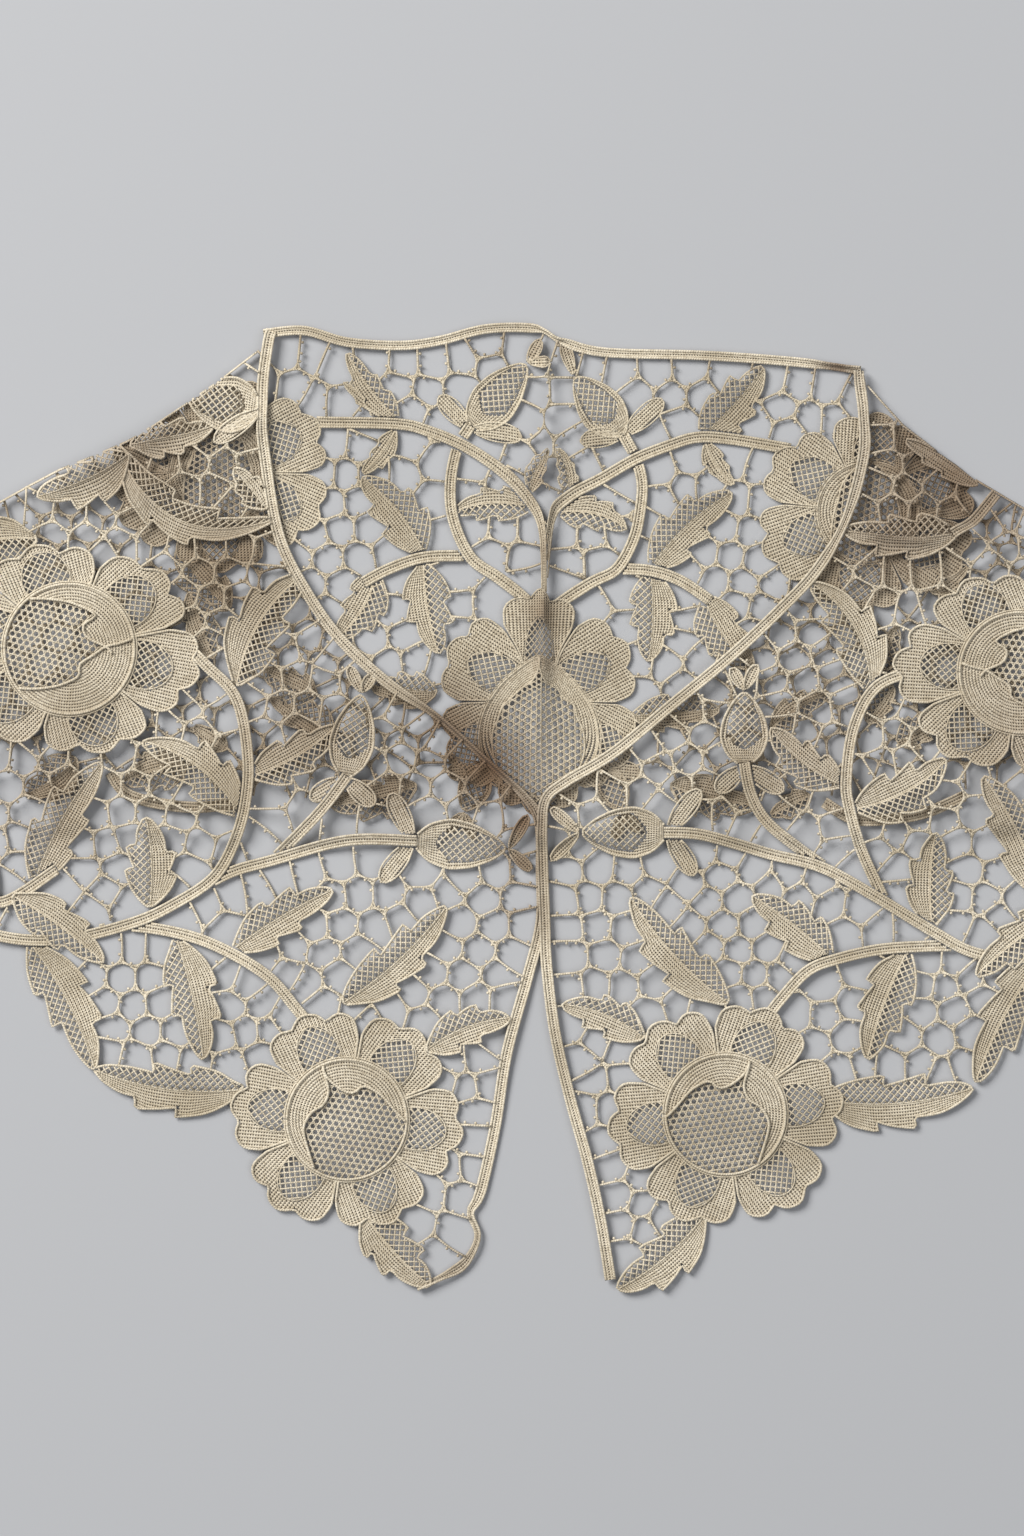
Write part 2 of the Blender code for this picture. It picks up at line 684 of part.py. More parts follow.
def cloth_material(name, colour):
    material = bpy.data.materials.new(name)
    material.use_nodes = True
    shader = material.node_tree.nodes["Principled BSDF"]
    shader.inputs["Base Color"].default_value = colour
    shader.inputs["Roughness"].default_value = 0.9
    shader.inputs["Metallic"].default_value = 0.0
    return material


# Heights


def back_zone():
    """A plain outline round the whole back, which the fronts climb over."""
    hem = shifted(smooth_path(BACK_HEM, HEM_STEP), BACK_REACH)
    return np.concatenate([hem, smooth_path(LEFT_FOLD, 30)[::-1], smooth_path(BACK_NECK, 30), smooth_path(RIGHT_FOLD, 30)])


def lift_at(points):
    """How high the fronts' underside lies: up on the back, and down on the table beyond its hem."""
    zone = back_zone()
    hem = shifted(smooth_path(BACK_HEM, HEM_STEP), BACK_REACH)
    away = distance_to(points, hem)
    away[inside(points, zone)] = 0
    return LIFT * np.clip((RAMP_END - away) / (RAMP_END - RAMP_START), 0, 1)


def front_heights(fold, rings):
    """Height functions of a front, whose shoulder edge turns down to the table."""
    line = smooth_path(fold, FOLD_STEP)

    def bottom_at(points):
        from_fold = distance_to(points, line)
        return lift_at(points) * np.clip((from_fold - FOLD_LIP) / FOLD_RISE, 0, 1)

    def top_at(points, in_motif):
        from_fold = distance_to(points, line)
        high = lift_at(points) + WALL + MOTIF_RELIEF * in_motif
        for flower in rings:
            radius = np.linalg.norm(points - np.array(flower.centre), axis=1)
            high += RING_RELIEF * (np.abs(radius - flower.disc + RING_WIDTH / 2) < RING_WIDTH / 3)
        return high - FOLD_DROP * np.clip(1 - from_fold / FOLD_LIP, 0, 1)

    return bottom_at, top_at


def ring_lines(flowers):
    """Closed lines at the foot and the crest of each raised ring."""
    lines = []
    for flower in flowers:
        for inward in (0, RING_WIDTH / 4, 3 * RING_WIDTH / 4, RING_WIDTH):
            ring = circle(flower.centre, flower.disc - inward, RING_SIDES)
            lines.append(np.concatenate([ring, ring[:1]]))
    return lines


def front(name, shapes, edge, fold, hem, side, seed):
    """side is 1 for the left front and -1 for the right."""
    leaves, _, flowers, _ = shapes
    motifs = outlines_of(*shapes)
    inner = shifted(smooth_path(edge, TAPE_STEP), -side * (TAPE_WIDTH / 2 + SEAM_GAP))
    fold_line = smooth_path(fold, FOLD_STEP)
    outer = np.array([(-side * 30, -170), (-side * 240, -170), (-side * 240, fold[-1][1] - 8)], float)
    limit = np.concatenate([inner, outer, fold_line[::-1]])
    ground = np.concatenate([inner, np.array(hem, float), fold_line[::-1]])
    seeds = cell_seeds(ground, motifs, seed)
    rim = shifted(fold_line, side * FOLD_LIP)
    cells = [cell_corners(seeds, k, BRIDE_WIDTH / 2) for k in range(len(seeds))]
    lines = [
        rim,
        shifted(fold_line, side * (FOLD_LIP + FOLD_RISE)),
        shifted(smooth_path(BACK_HEM, HEM_STEP), BACK_REACH + RAMP_START),
        shifted(smooth_path(BACK_HEM, HEM_STEP), BACK_REACH + RAMP_END),
        *ring_lines(flowers),
    ]
    raised = outlines_of(leaves, [], flowers, [])
    plan = Plan(limit, ground, motifs, [c for c in cells if len(c) > 2], lines, raised)
    plan.keep_bar(fold_line)
    plan.settle(MOST_GAPS[name])
    panel(name, plan, *front_heights(fold, flowers), ECRU)


def back():
    motifs = outlines_of(BACK_LEAVES, BACK_BUDS, BACK_FLOWERS, BACK_STEMS)
    inset = FOLD_LIP + FOLD_RISE + SEAM_GAP
    left = shifted(smooth_path(LEFT_FOLD, FOLD_STEP), inset)
    right = shifted(smooth_path(RIGHT_FOLD, FOLD_STEP), -inset)
    neck = shifted(smooth_path(BACK_NECK, NECK_STEP), -(TAPE_WIDTH / 2 + SEAM_GAP))[1:-1]
    hem = smooth_path(BACK_HEM, HEM_STEP)
    ground = np.concatenate([neck, right[:-1], hem, left[-2::-1]])
    low = np.array([(204, 60), (204, -30), (-204, -30), (-204, 60)], float)
    limit = np.concatenate([neck, right[:-1], low, left[-2::-1]])
    seeds = cell_seeds(ground, motifs, 5)
    cells = [cell_corners(seeds, k, BRIDE_WIDTH / 2) for k in range(len(seeds))]
    bars = [shifted(left, FOLD_LIP), shifted(right, -FOLD_LIP)]
    plan = Plan(limit, ground, motifs, [c for c in cells if len(c) > 2], bars, [])
    plan.keep_bar(left)
    plan.keep_bar(right)
    opening = np.concatenate([smooth_path(BACK_NECK, 12)[::-1], smooth_path(LEFT_EDGE, 12), smooth_path(RIGHT_EDGE, 12)[::-1]])
    plan.settle(MOST_GAPS["back_panel"], opening)

    def bottom_at(points):
        return np.zeros(len(points))

    def top_at(points, in_motif):
        return WALL + MOTIF_RELIEF * in_motif

    panel("back_panel", plan, bottom_at, top_at, ECRU_WRONG_SIDE)


def tape(name, points, base_at):
    """A flat tape with bevelled top edges, swept along a path."""
    path = smooth_path(points, TAPE_STEP)
    across = left_normals(path)
    base = base_at(path)
    half = TAPE_WIDTH / 2
    section = ((-half, 0), (half, 0), (half, TAPE_HEIGHT - TAPE_BEVEL), (half - TAPE_BEVEL, TAPE_HEIGHT),
               (TAPE_BEVEL - half, TAPE_HEIGHT), (-half, TAPE_HEIGHT - TAPE_BEVEL))
    corners = [
        (*((place + normal * offset) * MM), (low + height) * MM)
        for place, normal, low in zip(path, across, base)
        for offset, height in section
    ]
    sides = len(section)
    faces = [tuple(reversed(range(sides))), tuple(range(len(corners) - sides, len(corners)))]
    for station in range(len(path) - 1):
        for k in range(sides):
            a, b = station * sides + k, station * sides + (k + 1) % sides
            faces.append((a, b, b + sides, a + sides))
    add_object(name, corners, faces, ECRU_TAPE)


def clear_scene():
    for obj in list(bpy.data.objects):
        bpy.data.objects.remove(obj)


def main():
    clear_scene()
    back()
    left = (LEFT_LEAVES, LEFT_BUDS, LEFT_FLOWERS, LEFT_STEMS)
    right = (RIGHT_LEAVES, RIGHT_BUDS, RIGHT_FLOWERS, RIGHT_STEMS)
    front("front_left", left, LEFT_EDGE, LEFT_FOLD, LEFT_HEM, 1, 11)
    front("front_right", right, RIGHT_EDGE, RIGHT_FOLD, RIGHT_HEM, -1, 12)
    tape("edge_tape_left", LEFT_EDGE, lift_at)
    tape("edge_tape_right", RIGHT_EDGE, lift_at)
    tape("neck_tape_back", BACK_NECK, lambda path: np.zeros(len(path)))


main()
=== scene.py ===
"""The needle-lace collar in thread: rows of stitches, nets, brides and cords, on the solids' plan.

Every panel is drawn flat, in millimetres, X to the right and Y towards the back of the neck, with heights
above the middle of its own cloth. A drape function then lays it in place, in metres round the origin.
"""

import math
from collections import namedtuple

import bpy
import numpy as np
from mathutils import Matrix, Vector
from mathutils.geometry import delaunay_2d_cdt


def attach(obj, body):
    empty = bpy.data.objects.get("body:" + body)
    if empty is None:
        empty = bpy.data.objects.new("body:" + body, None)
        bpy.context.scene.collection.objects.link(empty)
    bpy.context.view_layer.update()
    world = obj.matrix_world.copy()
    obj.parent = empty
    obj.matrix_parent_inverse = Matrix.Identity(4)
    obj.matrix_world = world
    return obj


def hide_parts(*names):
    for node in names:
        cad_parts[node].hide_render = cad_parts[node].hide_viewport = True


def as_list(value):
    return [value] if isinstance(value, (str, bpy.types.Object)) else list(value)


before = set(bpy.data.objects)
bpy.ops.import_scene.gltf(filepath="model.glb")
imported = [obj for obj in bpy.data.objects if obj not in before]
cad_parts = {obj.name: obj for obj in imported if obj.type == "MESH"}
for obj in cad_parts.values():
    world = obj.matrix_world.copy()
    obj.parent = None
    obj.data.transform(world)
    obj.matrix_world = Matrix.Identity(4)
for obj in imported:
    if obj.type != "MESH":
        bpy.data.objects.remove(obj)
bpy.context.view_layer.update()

MM = 0.001
PLAN_CENTRE = (-0.2, 2.25)

# How the layers lie
LIFT = 1.75
# A front comes down to the table over this stretch beyond the edge of the back
RAMP_START = 1.0
RAMP_END = 7.0
BACK_REACH = 10.0
FOLD_ROLL = 2.6
CLOTH_MIDDLE = 0.62

# The collar's plan, as the solids have it but for CELL_PITCH, which is finer
TAPE_WIDTH = 4.0
SEAM_GAP = 0.3
CELL_PITCH = 9.4
RASTER = 1.5
RELAX_ROUNDS = 10
PATH_STEP = 12.0
BACK_INSET = 2.9

# Threads: sizes in millimetres, a slope in degrees, and shares
ROW_PITCH = 0.92
ROW_RISE = 0.16
ROW_SINK = 0.1
NET_PITCH = 1.58
NET_RADIUS = 0.26
NET_SLOPE = 46.0
NET_CROSSING = 0.12
KAGOME_EDGE = 0.98
KAGOME_RADIUS = 0.23
BRIDE_RADIUS = 0.39
SHORTEST_BRIDE = 0.5
LONGEST_BRIDE = 4 * CELL_PITCH
BRIDE_BOW = 0.05
UNEVEN_BRIDE = 0.1
FILLET = 1.8
PICOT_PITCH = 3.2
PICOTS_LEFT_OUT = 0.2
# A picot's sections: how far each is from the bride's side, and its radius
PICOT_STATIONS = np.array([(-0.1, 0.22), (0.14, 0.42), (0.5, 0.46), (0.76, 0.14)])
CORD_RADIUS = 0.4
WRONG_SIDE_CORD = 0.8
MIDRIB_RADIUS = 0.62 * CORD_RADIUS
EDGE_RADIUS = 1.1 * CORD_RADIUS
RING_RADIUS = 0.4
HOOD_HEIGHT = 0.45
LOOP_WIDTH = 3.4
BAND_WIDTH = 3.5
BAND_CORD = 0.42
BAND_ROWS = 2
BAND_TILT = 0.9
NECK_WIDTH = 3.0
TAPE_HOLD = 1.3
CORNER_CUT = 1.1
FINE_STEP = 0.4
# How many fine steps lie between two stations of a swept thread
ROW_EVERY = 5
NET_EVERY = 8
CORD_EVERY = 4
BRIDE_EVERY = 6

Leaf = namedtuple("Leaf", "base tip width bend net")
Bud = namedtuple("Bud", "base tip width sepals loops")
Flower = namedtuple("Flower", "centre reach_x reach_y disc turn hood ring", defaults=((),))

# Half-widths along a leaf, as shares of its length and of half its width: two teeth on each side
LEAF_LEFT_EDGE = (
    (0.0, 0.14), (0.16, 0.66), (0.40, 1.0), (0.43, 0.72), (0.67, 0.84), (0.70, 0.54), (0.86, 0.34),
)
LEAF_RIGHT_EDGE = (
    (0.0, 0.14), (0.14, 0.60), (0.33, 0.96), (0.36, 0.70), (0.57, 0.92), (0.60, 0.62), (0.82, 0.38),
)
BUD_EDGE = ((0.0, 0.16), (0.16, 0.74), (0.38, 1.0), (0.62, 0.86), (0.84, 0.48))
SEPAL_EDGE = ((0.0, 0.2), (0.35, 0.9), (0.7, 1.0), (0.92, 0.6))
SEPAL_WIDTH = 6.0
# The worked edge of a leaf, side by side: lobes that end in a barb, each from its notch to its point
LEAF_LOBES = {
    1: (((0.0, 0.12), (0.10, 0.50), (0.24, 0.88), (0.43, 1.08)), ((0.42, 0.66), (0.55, 0.84), (0.70, 0.98)),
        ((0.69, 0.50), (0.82, 0.50), (0.94, 0.28), (0.985, 0.12))),
    -1: (((0.0, 0.12), (0.09, 0.46), (0.20, 0.82), (0.36, 1.04)), ((0.35, 0.62), (0.47, 0.82), (0.61, 1.00)),
         ((0.60, 0.56), (0.76, 0.58), (0.90, 0.38), (0.98, 0.14))),
}

PETALS = 6
# One petal's rim, as shares of half its angle and of the flower's reach: three scallops
PETAL_SCALLOPS = (
    ((-0.98, 0.74), (-0.84, 0.90), (-0.58, 0.95), (-0.34, 0.89)),
    ((-0.34, 0.89), (-0.20, 0.97), (0.06, 1.0), (0.30, 0.92)),
    ((0.30, 0.92), (0.52, 0.96), (0.78, 0.92), (0.94, 0.78)),
)


def flipped(lobes):
    """The same hood on the other side of the flower's upright."""
    return tuple(tuple((180 - turn, share) for turn, share in lobe) for lobe in lobes)


def leaves(*rows):
    """Leaves from rows of a base, a tip, a width, a bend and a net."""
    return [Leaf(row[:2], row[2:4], *row[4:]) for row in rows]


def mirrored(rows):
    """The same rows on the other side of the collar."""
    return [(-x, y, -tip_x, tip_y, width, -bend, -net) for x, y, tip_x, tip_y, width, bend, net in rows]


# The hoods over a flower's disc: each lobe's inner edge, as an angle and a share of the disc's radius
LOW_HOOD = (
    ((114, 0.98), (117, 0.80), (119, 0.65), (127, 0.51), (151, 0.47), (165, 0.58), (184, 0.70), (201, 0.76),
     (236, 0.98)),
    ((114, 0.98), (116, 0.86), (111, 0.65), (94, 0.47), (73, 0.47), (66, 0.62), (50, 0.66), (34, 0.71),
     (8, 0.84), (-2, 0.98)),
)
HIGH_HOOD = (
    ((128, 0.98), (108, 0.80), (84, 0.70), (52, 0.66), (60, 0.44), (39, 0.32), (14, 0.42), (4, 0.57),
     (-6, 0.66)),
    ((9, 0.98), (6, 0.76), (4, 0.57), (-15, 0.38), (-60, 0.29), (-69, 0.44), (-105, 0.58), (-130, 0.80),
     (-142, 0.98)),
)
CENTRE_HOOD = (
    ((91, 0.80), (92, 0.56), (122, 0.36), (146, 0.40), (172, 0.50), (187, 0.66), (204, 0.80), (212, 0.96),
     (228, 1.2), (240, 1.4), (246, 1.56)),
    ((89, 0.80), (88, 0.56), (50, 0.34), (36, 0.45), (8, 0.46), (-6, 0.66), (-22, 0.74), (-32, 0.93),
     (-48, 1.2), (-60, 1.4), (-66, 1.56)),
)
WRONG_HOOD = (
    ((96, 0.98), (112, 0.86), (134, 0.74), (158, 0.62), (180, 0.66), (204, 0.78), (222, 0.98)),
    ((84, 0.98), (68, 0.86), (46, 0.74), (22, 0.62), (0, 0.66), (-24, 0.78), (-42, 0.98)),
)

# The ring that the drape has pulled out of round, as an angle and a share of the disc's radius
CENTRE_RING = (
    (15, 0.80), (62, 0.73), (90, 0.80), (118, 0.73), (165, 0.80), (195, 1.04), (218, 1.32), (236, 1.5),
    (252, 1.62), (270, 1.66), (288, 1.62), (304, 1.5), (322, 1.32), (345, 1.04),
)

# Edges of the laid collar
LEFT_EDGE = (
    (-80.5, 141), (-82.5, 124), (-81, 103), (-77, 82), (-69, 66), (-59, 52), (-45, 39), (-29, 28),
    (-14, 14.5), (-3.5, 4.5), (0.8, -3), (1.3, -18), (1.2, -33), (-3.0, -50), (-9, -72), (-12.5, -94),
    (-17, -114), (-20, -120), (-17.7, -127), (-21.6, -135), (-29, -139.5),
)
RIGHT_EDGE = (
    (96.5, 129.9), (97.5, 120), (97.5, 106), (92.5, 88), (84, 73), (72, 60), (57, 46), (40, 32),
    (23, 18), (9, 9.5), (2.7, 4.3), (1.5, -4), (1.7, -16), (2.3, -32), (2.9, -46), (5.4, -66), (10, -86),
    (15, -104), (19, -122), (22, -140),
)
BACK_NECK = (
    (-82, 143.5), (-70, 144.5), (-57, 141), (-41, 140), (-29, 141.5), (-15, 145), (0, 145), (7, 141.5),
    (20, 138), (50, 137), (78, 135), (97, 132.5),
)
LEFT_FOLD = ((-84, 138), (-97, 128), (-122, 112), (-143, 103), (-161, 93), (-185, 79), (-205, 67))
RIGHT_FOLD = ((99, 128), (110, 116), (131, 100), (146, 91), (165, 82), (185, 74), (205, 66))

# The hem of each ground, inside the motifs that make the lower edge
LEFT_HEM = (
    (-31, -139), (-43, -132), (-57, -92), (-92, -84), (-128, -77), (-134, -72), (-151, -42), (-161, -37),
    (-180, -20), (-192, 4), (-199, 30), (-203, 52),
)
RIGHT_HEM = (
    (26, -138), (43, -132), (57, -90), (92, -86), (128, -82), (134, -77), (151, -45), (161, -38),
    (180, -20), (192, 4), (199, 30), (203, 52),
)
BACK_HEM = (
    (200, 62), (190, 34), (168, 14), (140, 8), (112, 6), (84, 5), (50, 4), (20, 5), (0, 5),
    (-24, 5), (-50, 4), (-84, 5), (-112, 6), (-140, 8), (-168, 14), (-190, 34), (-200, 62),
)

# The fronts' motifs, each side as the photo shows it. A leaf is its base, tip, width, bend and net: 1 for the
# left half seen from the base, -1 for the right half and 0 for none. The right front mirrors the left one's
# outer leaves
OUTER_LEAVES = (
    (-150, 82, -178, 76, 14, -2, 1), (-163, -28, -175, 12, 14, 3, 1), (-166, -38, -194, -4, 15, 2, -1),
    (-191, 2, -203, 56, 15, 2, 1),
)
LEFT_LEAVES = leaves(
    (-157, -25, -130, -45, 13, 1, -1), (-151, -22, -130.5, 15, 15, 2, 1),
    (-116, -28, -117, -1.5, 15, -1, 1), (-152, -39, -132.5, -77, 15, 2, -1),
    (-108, -38, -100, -74, 15, 1, -1), (-88, -83, -133, -77, 15, 3, -1), (-91, -41, -61, -23, 13, 1, 1),
    (-58, -57, -27, -28, 14, -2, 1), (-33, -71, -8, -61.5, 12, 2, 1), (-90, 38, -69, 72, 16.5, 4, -1),
    (-89, -1, -118, 21.5, 15.5, -4, 1), (-86, 11, -60, 26, 13, -2, -1), (-122, 107, -150, 95, 15, 2, -1),
    *OUTER_LEAVES, (-52, -120, -32, -142, 15, -1, 1), (-126, 110, -78, 88, 13, -12.5, 1),
    (-122, 110.5, -97, 116, 11, -1, 1), (-81, 91, -90.5, 103, 9, 0, 1),
)
RIGHT_LEAVES = leaves(
    (158, -29, 131.5, -49, 13, -1, 1), (152, -26, 133.5, 11, 15, -2, -1),
    (118.5, -34, 119.5, -6, 14, 1, -1), (153, -42, 131.5, -81, 15, -2, 1), (111, -41.5, 99, -74, 15, -1, 1),
    (84.5, -86, 131, -82.5, 16, -3, 1), (88.5, -44, 64.5, -25, 14, -1, -1),
    (57, -57, 28, -25.5, 14.5, 2, -1), (32, -67.5, 7.5, -57.5, 12, -2, -1), (100, 36, 82, 69, 15, -5, 1),
    (95, 1, 122.5, 16, 15, -3, -1), (91, 8, 70, 25.5, 13, 2, 1), (125.5, 83, 91.5, 84.5, 13, 1, -1),
    (132, 98, 110.5, 112, 6.5, 0, 0), *mirrored(OUTER_LEAVES), (50, -121, 24, -143, 15, 2, -1),
)
# How many of a panel's leaves, from the first, lie over its stems
LEAVES_OVER_STEMS = 1
LEFT_BUDS = (
    Bud((-37, -8.5), (-8.5, -11), 15, ((-44, 6), (-47, -21)), ((-1.5, -17.5), (-2.5, -0.5))),
    Bud((-57.5, 10.5), (-52.5, 36), 13.5, ((-68, 4), (-48.5, 2)), ((-56.5, 44), (-49, 41.5))),
    Bud((-82.5, 121), (-105, 124), 17, ((-97, 111),), ()),
)
RIGHT_BUDS = (
    Bud((39, -6), (12.7, -6), 15.5, ((49, 7), (47.5, -19)), ((3.9, 1.6), (3.9, -14.5))),
    Bud((62, 14), (62, 36.7), 14.5, ((53.5, 6), (74, 6)), ((58, 43.5), (66, 44.5))),
)
LEFT_FLOWERS = (
    Flower((-57, -92), 35, 33.5, 18, 52, LOW_HOOD),
    Flower((-140, 49), 40, 32, 19.5, 45, HIGH_HOOD),
)
RIGHT_FLOWERS = (
    Flower((56.5, -90.5), 35.5, 34, 18, 128, flipped(LOW_HOOD)),
    Flower((144.5, 42), 38, 30.5, 18, 54, flipped(HIGH_HOOD)),
)
LEFT_STEMS = (
    ((-178, -30), (-161, -37), (-142, -38), (-121, -33), (-108, -27), (-97, -19.5), (-91, -9.5),
     (-87.5, 2), (-86.5, 16), (-90, 34), (-99, 44), (-104, 49)),
    ((-104, -24.5), (-92, -18), (-80, -14.5), (-57, -8.5), (-36, -8.5)),
    ((-80, -15), (-66, -1), (-57, 11)),
    ((-134, -36), (-122, -34), (-101, -38), (-82, -48), (-72, -59), (-67.5, -64.5)),
    ((-172, -20), (-161, -27), (-144, -17)),
)
RIGHT_STEMS = (
    ((178, -30), (161, -39), (146, -43.5), (131, -42), (118.5, -35.5), (102, -25.5), (85.5, -16.5),
     (70, -12.5), (60, -9.5), (48.5, -6.5), (38, -6)),
    ((105, -28), (97.5, -12), (93.5, 1), (92.5, 10), (95, 26), (102, 38), (115, 43)),
    ((86, -16), (79.5, -11.5), (69, -3), (64, 5.5), (62, 15)),
    ((127, -40), (118, -40), (103, -41), (89.5, -44), (81, -47.5), (73, -56), (68.5, -62)),
    ((172, -22), (163, -31), (151, -24)),
    ((124, 83), (131, 88), (137.5, 95.5)),
)

# The back's motifs: its two halves lie unevenly
BACK_LEAVES = leaves(
    (-41.5, 117.5, -57, 138, 8.5, 1, -1), (-42, 117.5, -58, 129, 6, 0, 0),
    (-42.5, 114.5, -52.5, 101.5, 6.5, 1, 0), (-34, 78, -52.5, 100.5, 15, -2, -1),
    (-3.5, 91.5, -25, 90, 10, -2, 1), (-4, 96, 4.5, 110, 6.5, 1, 1), (-34, 75, -29.5, 47.5, 14, -1, 1),
    (-48, 72, -60, 52, 13, 2, 1), (-30, 36, -50, 38, 11, 0, -1), (-36, 8, -62, 2, 13, 1, 1),
    (-66, 35, -82, 43, 11, 1, 1), (-61, 22, -80, 35, 12, -1, -1), (-93, 19, -103, 26, 7, 0, 0),
    (-105, 14, -124, 9, 13, -1, 1), (-138, 16, -154, 5, 13, 1, -1), (-104, 66, -97, 46, 11, 0, 1),
    (-172, 24, -196, 48, 14, 2, -1), (-92, 61, -108, 79, 13, 1, 1), (49, 112.5, 68, 133.5, 14, -1, 1),
    (50.5, 111, 59, 98, 6.5, -1, 0), (34, 73, 58.5, 96, 14.5, 2, 1), (8.5, 90, 27, 85, 10, 2, -1),
    (11.5, 95, 7.0, 110.5, 6, -1, 1), (34, 72.5, 33.5, 45, 14, 1, -1), (50, 65, 65, 43, 14, -2, -1),
    (28.5, 29, 55, 31, 11, 0, 1), (40, 8, 66, 2, 13, -1, -1), (82, 5, 70, -1, 8, 0, 1),
    (70, 25, 88, 36, 9, 1, -1), (99, 27, 107, 38, 8, 0, 1), (103, 42, 108, 56, 8, 0, -1),
    (108, 21, 122, 29, 10, 0, 1), (176, 24, 200, 48, 14, -2, 1), (118, 66, 129, 74, 8, 0, 1),
)
BACK_BUDS = (
    Bud((-20, 115), (-3, 135), 14, ((-29.5, 125), (-5, 113.5)), ((1, 142), (5, 135))),
    Bud((-16, 13), (-22, 0), 10, ((-27, 12), (-8, 9)), ((-27, -6), (-19, -8))),
    Bud((26, 113), (11, 131), 13.5, ((38, 124), (13.5, 112)), ((8, 141.5),)),
    Bud((20, 13), (26, 0), 10, ((31, 12), (12, 9)), ((31, -6), (23, -8))),
)
BACK_FLOWERS = (
    Flower((-95, 102), 34, 30, 15, 30, WRONG_HOOD),
    Flower((0.5, 33), 31, 34, 17, 90, CENTRE_HOOD, CENTRE_RING),
    Flower((99, 90), 34, 30, 15, 24, flipped(WRONG_HOOD)),
)
BACK_STEMS = (
    ((-66, 117), (-42, 116.5), (-33, 114.5), (-22, 110), (-12.5, 103.5), (-5, 95), (1, 84.5), (2.5, 66)),
    ((-20, 116), (-24, 109), (-26, 98), (-25, 87.5), (-20, 76.5), (-12.5, 70.5), (-3, 62)),
    ((-22, 77), (-34, 76.5), (-44.5, 73), (-52, 69)),
    ((-128, 12), (-122, 5), (-105, 1.5), (-90, 2.5)),
    ((76, 109), (58, 112), (48, 112.5), (39.5, 110), (29.5, 106), (19.5, 100), (11, 94.5), (5.5, 87),
     (2.5, 66)),
    ((26, 113), (29.5, 106.5), (31.5, 99), (31, 91), (29, 82), (24, 73), (17, 69), (7, 61.5)),
    ((25, 73), (34, 72.5), (43, 69.5), (52, 63.5)),
    ((86, 3), (95, -2), (106, -2), (117, 0), (128, 5)),
)

# Creases pressed into the laid cloth: a line, its height, its half-width and the share by which it draws the
# cloth together
Crease = namedtuple("Crease", "line height reach pull")
CREASES = (
    Crease(((3, 146), (2, 118), (3.5, 100), (4, 88)), 2.4, 3.4, 0.5),
    Crease(((3.5, 100), (4, 88), (2.5, 66), (1.5, 44), (0.5, 26), (0, 12)), 2.2, 3.0, 0.12),
    Crease(((2.5, 104), (2, 84), (1.5, 66), (1, 42)), 0.4, 10.0, 0.42),
    Crease(((-70, 128), (-96, 108), (-128, 92)), 1.3, 6.0, 0.15),
    Crease(((-104, 118), (-130, 104), (-158, 88)), 1.6, 4.0, 0.3),
    Crease(((102, 118), (118, 92), (150, 76), (176, 66)), 2.4, 5.0, 0.3),
    Crease(((92, 85), (108, 82), (125, 81)), 2.2, 2.6, 0.45),
    Crease(((100, 91), (112, 86), (122, 89)), 1.2, 1.8, 0.3),
    Crease(((106, 93), (108, 86), (112, 84)), 0.9, 1.6, 0.3),
    Crease(((-30, 10), (-70, 2), (-120, 18)), 0.9, 9.0, 0.05),
    Crease(((40, 8), (80, 14), (132, 4)), 1.1, 8.0, 0.05),
    Crease(((-150, 10), (-176, 30), (-196, 58)), 1.3, 7.0, 0.1),
    Crease(((-20, -60), (-52, -40), (-96, -48)), 0.8, 10.0, 0.0),
    Crease(((14, -40), (52, -56), (104, -40)), 0.9, 11.0, 0.0),
    Crease(((150, 18), (170, -6), (168, -34)), 1.2, 8.0, 0.1),
)
CREASE_FADE = 12.0
UNEVENNESS = 0.22
# Where a tape has turned on its edge: the place, how far it reaches and the share of its width that is left
TURNED = (
    ((-20, 19), 24, 0.42), ((-18.5, -126), 9, 0.5), ((-33, -141), 8, 0.4), ((4.5, 143.5), 4.5, 0.3),
    ((90, 86), 8, 0.7), ((90, 133.5), 6, 0.7),
)
# Where the thread is browned, partly by age and handling and partly as painted shade in creases, turned tapes
# and overlaps: the place, how far it reaches and how strongly
STAINS_AND_SHADE = (
    ((-27, 26), 14, 0.75), ((-14, 13), 14, 0.95), ((2.5, 46), 6, 0.5), ((-5, -2), 8, 0.9),
    ((-4.5, -16), 7, 0.7), ((-4.5, -30), 8, 0.6), ((2, 60), 7, 0.55), ((3, 78), 8, 0.5), ((2, 100), 9, 0.45),
    ((-120, 108), 18, 0.5), ((-92, 74), 16, 0.45), ((112, 112), 18, 0.55), ((140, 92), 18, 0.6),
    ((106, 83), 16, 0.6), ((-70, 26), 26, 0.4), ((-150, 6), 24, 0.4), ((76, 20), 24, 0.35),
    ((148, 18), 22, 0.4), ((-196, -4), 18, 0.35), ((-44, 4), 12, 0.35), ((-24, -136), 12, 0.35),
    ((90, 133), 6, 0.8), ((126, 102), 15, 0.6),
)
# Painted shade: how much darker the back is wherever the fronts lie over it
UNDER_FRONTS_SHADE = 0.32


# Plan geometry, in millimetres


def smooth_path(points, step):
    """Points about step apart along a Catmull-Rom curve through the given points."""
    knots = np.array([points[0], *points, points[-1]], float)
    found = [knots[1]]
    for k in range(1, len(knots) - 2):
        before, start, end, after = knots[k - 1 : k + 3]
        pieces = max(1, round(np.linalg.norm(end - start) / step))
        for t in np.arange(1, pieces + 1) / pieces:
            found.append(
                0.5 * (2 * start + (end - before) * t + (2 * before - 5 * start + 4 * end - after) * t**2
                       + (3 * start - before - 3 * end + after) * t**3)
            )
    return np.array(found)


def distances(path):
    """How far along the path each of its points is."""
    return np.concatenate([[0], np.cumsum(np.linalg.norm(np.diff(path, axis=0), axis=1))])


